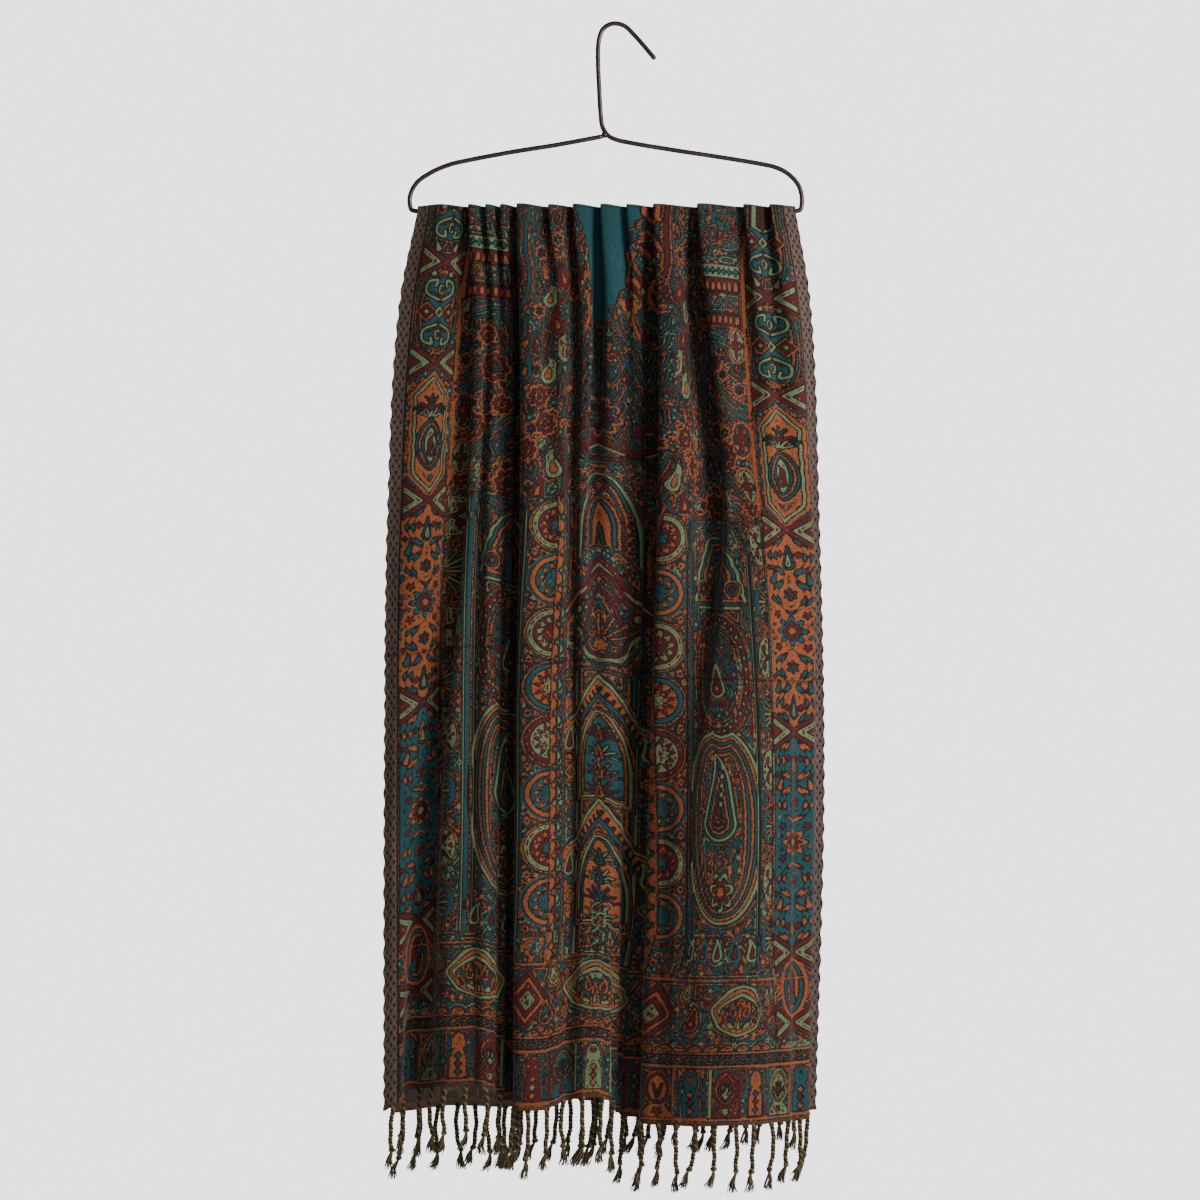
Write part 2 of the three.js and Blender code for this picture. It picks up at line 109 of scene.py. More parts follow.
BACK_FOLDS = (
    # as above, seen from the front
    (-195, 3, -209, 15, -219, 15, -222, 14, -222, 19, 904),  # left edge
    (-173, 8, -181, 17, -193, 19, -201, 22, -204, 29, 903),
    (-143, 1, -151, 11, -167, 27, -179, 32, -183, 36, 901),
    (-143, 8, -139, 23, -149, 29, -161, 31, -163, 35, 899),
    (-126, 1, -129, 15, -135, 24, -143, 24, -145, 26, 898),
    (-126, 8, -121, 17, -123, 15, -126, 12, -127, 12, 896),
    (-111, 1, -110, 6, -110, 3, -110, 1, -109, 2, 895),  # long dip
    (-111, 8, -99, 21, -93, 24, -90, 27, -85, 34, 893),
    (-93, 0, -87, 19, -79, 34, -73, 38, -67, 43, 892),  # roll
    (-93, 10, -75, 25, -65, 32, -57, 32, -51, 36, 891),
    (-63, 1, -62, 10, -52, 20, -43, 19, -37, 19, 890),
    (-63, 8, -50, 17, -40, 10, -30, 5, -25, 5, 889),  # long dip
    (-38, 1, -39, 21, -28, 22, -16, 22, -11, 24, 888),
    (-38, 9, -26, 28, -15, 34, -2, 35, 5, 38, 887),  # roll
    (-10, 0, -11, 19, -1, 29, 12, 27, 19, 29, 885),
    (-10, 9, 1, 17, 12, 17, 25, 12, 32, 12, 884),
    (15, 1, 17, 6, 26, 5, 38, 1, 45, 2, 882),  # long dip
    (15, 8, 31, 21, 40, 22, 52, 23, 59, 26, 881),
    (42, 1, 43, 27, 53, 34, 66, 38, 74, 41, 880),  # roll
    (42, 9, 57, 25, 66, 31, 79, 32, 87, 36, 879),
    (87, 0, 83, 8, 87, 10, 95, 14, 101, 14, 878),
    (87, 10, 97, 23, 104, 17, 109, 11, 113, 10, 876),  # long dip
    (132, 1, 125, 27, 125, 27, 127, 24, 129, 24, 875),
    (132, 8, 139, 23, 145, 31, 147, 32, 149, 34, 874),  # roll
    (158, 1, 155, 15, 162, 24, 165, 24, 166, 26, 873),
    (158, 8, 170, 17, 179, 15, 181, 14, 180, 14, 872),
    (182, 3, 193, 11, 195, 10, 196, 8, 193, 7, 871),  # right edge
)

STRANDS = 30
STRAND_LENGTH = 62.0
TASSEL_SHARE = 0.27  # share of a strand below its knot
PLY_PITCH = 7.2  # one turn of the twist
PLY_STEPS = 56
TUFT_ENDS = 20
TUFT_STEPS = 7
GOLDEN_ANGLE = 2.399  # spreads the ends of a tuft evenly

# The hanger's wire, from the hook's tip to its welded end: x and z of its axis.
WIRE_PATH = (
    (42, -33), (21.5, -9.3), (11, 0.3), (0, 2.4), (-9.7, -2.7), (-14.2, -14.5), (-15, -37), (-14, -60),
    (-12.4, -88), (-10.5, -101), (-5, -109.5), (3, -113.6), (16, -116.6), (60, -124), (104, -130.7),
    (148, -138), (163, -141.5), (175, -147.8), (185, -158.6), (188.6, -169.5), (188.6, -179.5),
    (187, -183.8), (183, BAR_Z), (120, BAR_Z), (0, BAR_Z), (-120, BAR_Z), (-197.5, BAR_Z),
    (-201.4, -183.8), (-203, -179.5), (-203, -170), (-196.5, -157), (-181, -146), (-163, -138.5),
    (-145, -134.3), (-101, -126), (-57, -119), (-10.2, -110.4),
)
WELD = (-8.6, -108.8)
SELVEDGE = 286.0  # from the middle of the cloth to the lattice
LOZENGE = (6.4, 10.6)  # the lattice's lozenge, across and along
WEAVE_CELL = 0.9  # what a motif's edge is stepped by
CREASE_V = 452.0  # the packing crease, half-way down the flat cloth
CREASE_HEIGHT = 0.6
CREASE_WIDTH = 5.0

# The stage, in metres: a floor that curves up into a wall, and soft lights as name, place and size.
FLOOR_Z = -1.5
FLOOR_FRONT_Y = -6.0
WALL_Y = 5.0
WALL_TOP_Z = 5.0
COVE = 1.2
STAGE_HALF_WIDTH = 6.0
LAMPS = (("key", (1.5, -1.1, -0.1), 0.7), ("fill", (0.5, -2.6, -0.4), 1.8),
         ("rear", (-1.2, 2.4, -0.1), 1.8))
LAMP_TARGET = (0.0, 0.0, -0.6)
CAMERA_X = -0.013
CAMERA_Z = -0.574
FOCAL_LENGTH = 90.0
PAPER = (0.86, 0.86, 0.86)
WHITE = (1.0, 1.0, 1.0)
SKY_LIGHT = 0.17
BACKDROP_GLOW = 2.6  # to the camera only; a brighter one swallows the edges of the thin wire


# ---- the cloth's shape ------------------------------------------------------------------------

def cubic(t, a, b, slope_a, slope_b):
    """A cubic from a to b whose end slopes, over the unit span, are given."""
    t2, t3 = t * t, t * t * t
    return (a * (2 * t3 - 3 * t2 + 1) + slope_a * (t3 - 2 * t2 + t)
            + b * (3 * t2 - 2 * t3) + slope_b * (t3 - t2))


def at_station(values, down):
    """values[..., station] smoothed over the stations at each distance down: a cubic per span, whose
    slopes are the mean of the two secants beside each station."""
    stations = np.array(STATIONS)
    secants = np.diff(values, axis=-1) / np.diff(stations)
    slopes = np.concatenate([secants[..., :1], (secants[..., 1:] + secants[..., :-1]) / 2,
                             secants[..., -1:]], axis=-1)
    i = np.clip(np.searchsorted(stations, down, side="left") - 1, 0, len(stations) - 2)
    span = stations[i + 1] - stations[i]
    t = np.clip((down - stations[i]) / span, 0, 1)
    return cubic(t, values[..., i], values[..., i + 1], span * slopes[..., i], span * slopes[..., i + 1])


def sections(folds, down, samples=24):
    """Horizontal sections through one stretch, one for each distance down. Between two fold lines x
    is a cubic whose end slopes let the sides bulge past each other, and out a cubic level on crests
    and dips. The depth is scaled by bisection until the curve is as long as the cloth is wide.
    Returns x, out and the flat place s, each (rows, samples along the curve), and the drop."""
    table = np.array(folds, float)
    xs = at_station(table[:, 0:10:2], down).T
    outs = np.maximum(0, at_station(table[:, 1:10:2], down)).T
    drops = table[:, 10]
    steps = np.diff(outs, axis=1)
    same = steps[:, 1:] * steps[:, :-1] > 0
    total = np.where(same, steps[:, 1:] + steps[:, :-1], 1)
    level = np.pad(np.where(same, 2 * steps[:, 1:] * steps[:, :-1] / total, 0), ((0, 0), (1, 1)))
    t = np.arange(samples) / samples

    def curve(scale):
        depth = scale[:, None] * np.abs(steps)
        gap = np.diff(xs, axis=1)
        reach = np.maximum(gap, np.minimum(FOLD_TIGHT * depth ** 2, FOLD_BULGE * depth))[..., None]
        x = cubic(t, xs[:, :-1, None], xs[:, 1:, None], reach, reach)
        out = scale[:, None, None] * cubic(t, outs[:, :-1, None], outs[:, 1:, None],
                                           level[:, :-1, None], level[:, 1:, None])
        ends = (xs[:, -1:], (scale * outs[:, -1])[:, None])
        x = np.concatenate([x.reshape(len(down), -1), ends[0]], axis=1)
        out = np.concatenate([out.reshape(len(down), -1), ends[1]], axis=1)
        arc = np.hypot(np.diff(x, axis=1), np.diff(out, axis=1)).cumsum(axis=1)
        return x, out, np.pad(arc, ((0, 0), (1, 0)))

    wanted = 2 * HALF_WIDTH * (1 - BAR_SLACK * np.exp(-down / BAR_SLACK_FADE))
    low, high = np.zeros(len(down)), np.full(len(down), 4.0)
    for _ in range(24):
        middle = (low + high) / 2
        short = curve(middle)[2][:, -1] < wanted
        low, high = np.where(short, middle, low), np.where(short, high, middle)
    x, out, arc = curve(low)
    s = (arc / arc[:, -1:] * 2 - 1) * HALF_WIDTH
    fold = np.minimum(np.arange(x.shape[1]) / samples, len(folds) - 1)
    i = np.minimum(fold.astype(int), len(folds) - 2)
    drop = cubic(fold - i, drops[i], drops[i + 1], 0, 0)
    return x, out, s, np.broadcast_to(drop, x.shape)


def ripple(s, v, seed):
    """Small puckers of hand-hung cloth, in millimetres: three slanted waves whose lengths share no
    factor, growing from nought over the first 60 mm below the bar."""
    a, b = seed * 1.7, seed * 2.9
    waves = (0.45 * np.sin(s / 13.0 + v / 61.0 + a) * np.sin(v / 43.0 + b)
             + 0.3 * np.sin(s / 7.3 - v / 37.0 + b) * np.sin(v / 29.0 + a)
             + 0.25 * np.sin(s / 21.0 + v / 17.0 + a + b))
    return waves * np.clip(v / 60.0, 0, 1)


def hanging(folds, side, s_line, q_line):
    """The cloth's mid surface below the bar at flat places s (columns) and q (rows): each row's
    section, resampled at equal flat distances, then set out from the bar's plane by the wrap's
    radius, the stand-off and the fold's depth. A low packing crease runs across it, and the
    selvedges wave. Also returns how far along the flat cloth each point lies."""
    x, out, s, drop = sections(folds, np.minimum(q_line, HALF_LENGTH))
    take = lambda row, values: np.interp(s_line, s[row], values[row])
    rows = range(len(q_line))
    x, out, drop = (np.array([take(r, values) for r in rows]) for values in (x, out, drop))
    q = q_line[:, None]
    down = q * (1 + (drop - HALF_LENGTH) / HALF_LENGTH)
    flat_v = q + side * SKEW * s_line[None] * (1 - q / HALF_LENGTH)
    crease = CREASE_HEIGHT * np.exp(-((flat_v - CREASE_V) / CREASE_WIDTH) ** 2)
    edge = np.exp(-(HALF_WIDTH - np.abs(s_line[None])) / 7.0)
    wave = edge * np.sin(flat_v / 2.75 + 3 * np.sin(flat_v / 71.0)) * np.clip(q / 80.0, 0, 1)
    x = x + 0.8 * np.sign(s_line) * wave
    stand = STAND_OFF * (1 - np.exp(-down / STAND_OFF_FADE))
    y = side * (WRAP_RADIUS + stand + out + crease + 0.8 * wave + ripple(s_line[None], flat_v, side))
    return np.stack([x, y, BAR_Z - down], axis=-1), flat_v


def over_bar(side, s_line, turns):
    """The cloth's mid surface over the bar, from its top (turn 0) down to the axis (turn 1): a
    quarter of an ellipse as deep as the gather and less high."""
    x, out, s, _ = sections(FRONT_FOLDS, np.zeros(1))
    x, out = np.interp(s_line, s[0], x[0]), np.interp(s_line, s[0], out[0])
    angle = turns[:, None] * math.pi / 2
    y = side * (WRAP_RADIUS + out) * np.sin(angle)
    z = BAR_Z + (WRAP_RADIUS + WRAP_RISE * out) * np.cos(angle)
    flat_v = np.broadcast_to((turns[:, None] - 1) * WRAP_LENGTH, z.shape)
    return np.stack([np.broadcast_to(x, z.shape), y, z], axis=-1), flat_v


# ---- the woven pattern ------------------------------------------------------------------------

# How far the figure lies off its even place across the cloth, in millimetres, at five distances
# along it.
CREEP_AT = (250.0, 330.0, 700.0, 775.0, 828.0)
CREEP = (
    # s, at 250, at 330, at 700, at 775, at 828
    (-300, 8, 8, 8, 8, 8), (-286, 8, 8, 8, 8, 8), (-258, 4.5, 4.5, 4.5, 5, 3), (-240, 8, 12, 12, 10, 5),
    (-203, 8, 13, 13, 13, 1), (-150, 2, 10, 10, 8, 0), (-130, 0, 8, 8, 5, 0), (-82, -3, -7, -7, -5, 0),
    (-53, -2, -9, -9, -5, 0), (0, 0, 0, 0, 0, 0), (50, -20, -20, -20, -10, -2),
    (103, -52, -41, -41, -22, -8),
    (117, -59, -45, -45, -26, -12), (135, -52, -45, -45, -26, -12), (142, -50, -40, -40, -24, -12),
    (152, -12, -36, -36, -22, -13), (170, -8, -30, -30, -21, -15), (190, 0, -30, -30, -20, -14),
    (207, 6, -31, -31, -20, -13), (225, 5, 4, 4, -3, -9), (250, 3, 3, 3, 1, -3), (286, -8, -8, -8, -8, -8),
    (300, -8, -8, -8, -8, -8),
)
# Rust, teal, sage and maroon by their first letters; "rtr" is three shapes, each inside the last.
YARNS = "rtsm"
OPPOSITE = dict(zip(YARNS, "trms"))
WAYS = (-1, 1)
CARTOUCHE_A = 253.5  # from the middle of the cloth to that of the side border
CROSS_SLOPE = 0.74  # of the crossed bars
# One quarter of a long cartouche's outline: place across, and the share of its half height.
OGEE = ((0, 0.97), (10, 0.9), (18.5, 0.77), (16, 0.65), (6, 0.54), (15, 0.43), (18, 0.34), (12, 0.25),
        (0, 0.18))


def figure_place(s, v):
    """Where in the even figure a point of the cloth lies: s plus the creep, linear in s between the
    table's places and in v between its distances."""
    table = np.array(CREEP, float)
    shifts = np.stack([np.interp(s, table[:, 0], column) for column in table[:, 1:].T])
    place = np.interp(v, CREEP_AT, np.arange(len(CREEP_AT)))
    i = np.minimum(place.astype(int), len(CREEP_AT) - 2)
    t = place - i
    near = np.take_along_axis(shifts, i[None], 0)[0]
    far = np.take_along_axis(shifts, i[None] + 1, 0)[0]
    return s + near * (1 - t) + far * t


class Loom:
    """Paints motifs on the flat cloth. Each yarn holds how far inside its own colour a point is, in
    millimetres: painting a shape raises its yarn by the depth inside the shape's edge, and caps
    every other yarn by the distance outside it, so that all of them meet at nought on an edge.
    Clear is 0 where small curls break up a wide patch, 1 where they leave a margin along its edges
    plain, and 2 where it stays plain all over."""

    def __init__(self, a, v):
        self.a = a
        self.v = v
        self.yarn = {name: np.full(a.shape, -9.0) for name in YARNS}
        self.yarn["r"][:] = 9.0
        self.clear = np.zeros(a.shape)

    def paint(self, name, d, clear=False):
        for other in YARNS:
            mine = self.yarn[other]
            self.yarn[other] = np.maximum(mine, -d) if other == name else np.minimum(mine, d)
        self.clear = np.where(d < 0, float(clear), self.clear)

    def plain(self, name, d):
        """A shape with plain margins."""
        self.paint(name, d, True)

    def rules(self, places, half, v0, v1):
        """Thin upright bands from v0 to v1, a yarn and a place for each."""
        for name, a in places:
            self.plain(name, self.box(a - half, a + half, v0, v1))

    def nest(self, yarns, shape, step):
        """The same shape again and again, each a step further in, in the yarns' order; the curls
        break up only the innermost."""
        for n, name in enumerate(yarns):
            self.paint(name, shape + step * n, n < len(yarns) - 1 or step < 3)

    def box(self, a0, a1, v0, v1):
        """Distance from a rectangle."""
        beside = np.abs(self.a - (a0 + a1) / 2) - (a1 - a0) / 2
        return np.maximum(beside, np.abs(self.v - (v0 + v1) / 2) - (v1 - v0) / 2)

    def oval(self, a, v, ra, rv, power=2.0):
        """Distance from a super-ellipse, from its level set over the level set's steepness."""
        x, y = np.abs(self.a - a) / ra, np.abs(self.v - v) / rv
        level = (x ** power + y ** power) ** (1 / power)
        x, y = (k / np.maximum(level, 0.02) for k in (x, y))
        steep = np.hypot(x ** (power - 1) / ra, y ** (power - 1) / rv)
        return (level - 1) / np.maximum(steep, 1 / max(ra, rv))

    def rosette(self, a, v, r, petals, cut, stretch=1.0, turn=0.0):
        """A disc whose radius swings with the angle, once for each petal."""
        da, dv = self.a - a, (self.v - v) / stretch
        radius = r * (1 - cut + cut * np.abs(np.cos(petals / 2 * np.arctan2(da, dv) + turn)))
        return (np.hypot(da, dv) - radius) * 0.85

    def lozenge(self, a, v, ra, rv):
        """Distance from a diamond."""
        return (np.abs(self.a - a) / ra + np.abs(self.v - v) / rv - 1) * ra * rv / math.hypot(ra, rv)

    def niche(self, a, v0, v1, half, wave=0.0):
        """A pointed arch with its tip at v0, cut off at v1: over 2.2 half-widths it widens as the
        root of a sine, then runs straight, with an optional scallop."""
        t = np.clip((self.v - v0) / (2.2 * half), 0, 1)
        width = half * np.sqrt(np.sin(t * math.pi * 0.5)) + wave * np.abs(np.sin((self.v - v0) / 4.5))
        return np.maximum((np.abs(self.a - a) - width) * 0.8, np.maximum(v0 - self.v, self.v - v1))

    def leaf(self, a, v, r, length, lean, curl=0.0):
        """A paisley: a round foot at (a, v) whose width dwindles to a tip that is length higher and
        lean to the side; its last third curls back."""
        t = np.clip((v - self.v) / length, 0, 1)
        axis = a + lean * t ** 1.5 - curl * np.clip(t - 0.55, 0, 1) ** 2 * 6
        body = np.abs(self.a - axis) - r * np.sqrt(1 - t) * (1 - 0.25 * t)
        tip = np.hypot(self.a - axis, v - length - self.v)
        above = np.where(t < 1, body, tip)
        return np.where(self.v < v, above, np.hypot(self.a - a, self.v - v) - r) * 0.85

    def fan(self, a, v, r0, r1, count, spread, width):
        """Distance from strokes that radiate upwards from (a, v), evenly over the spread of angles;
        with negative radii they point down."""
        strokes = [self.run([(a + r * math.sin(k), v - r * math.cos(k)) for r in (r0, r1)], width)
                   for k in np.linspace(-spread, spread, count)]
        return np.min(strokes, axis=0)

    def run(self, points, width):
        """Distance from a bent band through the points, with rounded joints."""
        best = np.full(self.a.shape, 1e3)
        for (a0, v0), (a1, v1) in zip(points, points[1:]):
            la, lv = a1 - a0, v1 - v0
            t = np.clip(((self.a - a0) * la + (self.v - v0) * lv) / (la * la + lv * lv), 0, 1)
            best = np.minimum(best, np.hypot(self.a - a0 - t * la, self.v - v0 - t * lv))
        return best - width / 2


def bow(points, count=16):
    """A smooth line through a few points: cubics whose slopes are the central differences."""
    points = np.array(points, float)
    fine = np.linspace(0, len(points) - 1, count)
    slopes = np.gradient(points, axis=0)
    i = np.minimum(fine.astype(int), len(points) - 2)
    t = (fine - i)[:, None]
    return cubic(t, points[i], points[i + 1], slopes[i], slopes[i + 1])


def weave_shoulders(loom):
    """The cloth near the bar: staggered small leaves and rosettes, banded panels, great scrolls that
    sweep round the pool with curled leaves along them, and scalloped flowers."""
    loom.paint("r", loom.box(45, 230, -20, 310))
    for n in range(9):
        for k in range(11):
            a, v = 50.0 + 21 * n, -8.0 + 29 * k + 14.5 * (n % 2)
            if (n + k) % 2:
                loom.nest("tr" + "st"[k % 2], loom.leaf(a, v + 8, 6.5, 17, 5 - 10 * (n % 2), 3), 2.3)
            else:
                loom.nest("rt" + "sm"[(k + 1) % 2], loom.rosette(a, v, 8, 6, 0.35), 2.4)
    for v0, v1 in ((-10, 8), (16, 26), (34, 40)):
        loom.paint("t", loom.box(160, 226, v0, v1) + 3 * np.sin(loom.a / 7))
    loom.plain("s", loom.box(160, 224, 42, 55))
    loom.plain("m", loom.box(160, 224, 56, 69))
    loom.paint("t", loom.box(160, 224, 70, 90))
    loom.plain("m", loom.box(160, 224, 91, 103))
    for a in range(164, 228, 8):
        loom.plain("t", loom.rosette(a, 48.5, 4, 4, 0.5))
        loom.plain("r", loom.niche(a, 58, 68, 3))
        loom.plain("r", loom.oval(a, 97, 2.8, 4.6))
    for a, lean in ((176, 16), (212, -16)):
        loom.paint("r", loom.leaf(a, 82, 7, 9, lean, 3))
        loom.plain("t", loom.leaf(a, 82, 3.4, 5, lean / 2, 2))
    for yarns, widths, line in (
            ("trt", (17, 11, 4.4), ((118, -20), (112, 40), (104, 80), (118, 118), (160, 150), (200, 182),
                                    (226, 196))),
            ("trt", (15, 9, 4), ((226, 112), (206, 120), (176, 112), (150, 126), (140, 160), (146, 200),
                                 (170, 232), (200, 262), (226, 300))),
            ("trm", (12, 7, 2.6), ((56, -20), (55, 40), (52, 80), (74, 104), (82, 140), (72, 170), (92, 196),
                                   (60, 240), (52, 300)))):
        for name, width in zip(yarns, widths):
            loom.paint(name, loom.run(bow(line), width), width < 9)
    for a, v, r, length, lean, curl, name in (
            (64, 76, 8, 16, 10, 9, "m"), (80, 96, 8, 16, -8, -9, "s"), (70, 122, 8, 16, 9, 9, "m"),
            (60, 148, 9, 19, 10, 9, "s"), (78, 170, 9, 18, -9, -9, "s"), (66, 262, 9, 20, 9, 7, "s"),
            (104, 170, 8, 18, -7, -6, "t"), (118, 224, 9, 22, 8, 8, "s"), (84, 286, 8, 18, -8, -7, "m")):
        loom.plain(name, loom.leaf(a, v, r, length, lean, curl))
        loom.plain("r", loom.leaf(a, v, r - 4.6, length / 2, lean / 2.5, curl / 2))
    for a, v, r in ((87, 192, 13), (78, 218, 14), (96, 244, 13), (122, 262, 15), (152, 284, 16),
                    (176, 172, 17), (196, 232, 17), (166, 208, 12), (214, 282, 13), (128, 196, 13),
                    (186, 140, 12)):
        loom.nest("rmrts", loom.rosette(a, v, r, 8, 0.2), 2.8)
        loom.plain("m", loom.oval(a, v, 2, 2))
    for v, name in ((122, "s"), (216, "t"), (262, "s")):
        loom.nest("r" + name, loom.oval(217, v, 12, 19), 3.2)
        loom.plain("m", loom.rosette(217, v, 6.5, 4, 0.7, 2.0))
    loom.rules((("r", 226.5), ("t", 231)), 1.2, 20, 300)


def weave_medallions(loom):
    """The field's tall medallions under a niche: a dotted ring round ovals and a leaf, then nested
    scalloped ovals round a great leaf, and a row of leaves below."""
    a = 140
    loom.paint("t", loom.box(92, 190, 296, 745))
    loom.nest("strt", loom.niche(a, 312, 384, 33, 1.5), 3.4)
    loom.paint("r", loom.niche(a, 340, 384, 11))
    loom.plain("t", loom.niche(a, 348, 382, 5))
    for way in WAYS:
        loom.nest("rtm", loom.oval(a + way * 21, 364, 9, 10), 3)
        loom.paint("r", loom.leaf(a + way * 34, 398, 7, 26, -way * 4, way * 4))
    top = loom.oval(a, 448, 35, 61, 2.3)
    loom.paint("r", top)
    loom.plain("m", top + 3)
    loom.paint("t", top + 8)
    for k in np.arange(0, 2 * math.pi, math.pi / 15):
        loom.plain("s", loom.oval(a + 29.7 * math.sin(k), 448 + 55.5 * math.cos(k), 1.5, 2.4))
    loom.paint("r", loom.oval(a, 450, 20, 42, 2.2))
    for k in np.arange(0, 2 * math.pi, math.pi / 6):
        dot = loom.oval(a + 13.5 * math.sin(k), 450 + 31 * math.cos(k), 2.8, 4.4)
        loom.plain("t" if k % 1 < 0.5 else "m", dot)
    loom.nest("smr", loom.leaf(a, 462, 9, 26, 0), 2.8)
    low = np.maximum(loom.oval(a, 596, 44, 96, 2.2), 503 - loom.v + 4 * np.abs(np.sin(loom.a / 7)))
    loom.nest("srtrtrt", low, 3.5)
    loom.nest("strtm", loom.leaf(a - 2, 592, 19, 68, 6, 7), 2.9)
    loom.nest("rms", loom.rosette(a - 2, 592, 8, 7, 0.4), 2.4)
    for k in range(5):
        loom.plain("s", loom.oval(a + 1 + 0.6 * k, 574 - 9 * k, 2.0, 3.0))
    loom.nest("rt", loom.rosette(a, 632, 9, 6, 0.4), 3)
    loom.nest("sm", loom.rosette(a, 660, 14, 7, 0.45, 1.5), 3)
    loom.plain("r", loom.rosette(a, 660, 5, 5, 0.5, 1.5))
    for n in range(5):
        place = 104 + 18 * n
        loom.nest("st"[n % 2] + "m", loom.leaf(place, 722, 6.5, 18, 5 - 2.5 * n, 2), 2.8)
        loom.nest("rt", loom.rosette(place + 9, 708, 4.5, 5, 0.4), 2.4)


def weave_palmettes(loom):
    """The column inside the cartouches: half palmettes and sprigged panels in turn on a straight
    stem."""
    loom.paint("t", loom.box(189, 228, 300, 735))
    side = loom.a - 227
    for n, v in enumerate(np.arange(320, 722, 55)):
        face = np.maximum(loom.oval(228, v, 36, 23, 2.6), side)
        loom.paint("r", face)
        loom.plain("st"[n % 2], face + 3.2)
        if n % 2:
            for k in range(-3, 4):
                petal = loom.run(((226, v + 2 * k), (203 + 1.2 * k * k, v + 6.5 * k)), 3.2)
                loom.plain("sr"[k % 2], np.maximum(petal, side))
        else:
            for k in WAYS:
                stem = loom.run(bow(((224, v), (210, v + 4 * k), (202, v + 12 * k)), 6), 1.2)
                loom.plain("m", np.abs(np.maximum(stem, side)) - 0.8)
                loom.plain("m", np.maximum(loom.rosette(212, v + 9 * k, 5.5, 3, 0.6), side))
        loom.nest("rm", np.maximum(loom.rosette(215, v + 27.5, 6.5, 6, 0.4), side), 3)

def weave_roundels(loom):
    """The half roundels that stand on the centre's border, each with a rim, a face and a flower, and
    the rules on both sides of the medallions."""
    loom.paint("t", loom.box(62, 93, 290, 715))
    for n, v in enumerate(np.arange(317, 700, 52.5)):
        face, rim, flower = ("msr", "trr", "mss", "rtm", "smm", "trr")[n % 6]
        for name, shape in (
                ("t" if rim == "r" else "r", loom.oval(62, v, 29, 25.6)), (rim, loom.oval(62, v, 26, 23)),
                (face, loom.oval(62, v, 20.5, 18)), (flower, loom.rosette(63, v, 16.5, 11, 0.5)),
                (face, loom.rosette(63, v, 11, 11, 0.4)),
                (OPPOSITE[flower], loom.rosette(63, v, 7.5, 6, 0.5))):
            loom.plain(name, np.maximum(shape, 62.5 - loom.a))
        loom.nest("rm", loom.rosette(85, v + 26, 5, 6, 0.4), 2.8)
    for first in (92.5, 178):
        loom.rules([(name, first + 3.5 * n) for n, name in enumerate("srts")], 1.0, 300, 735)


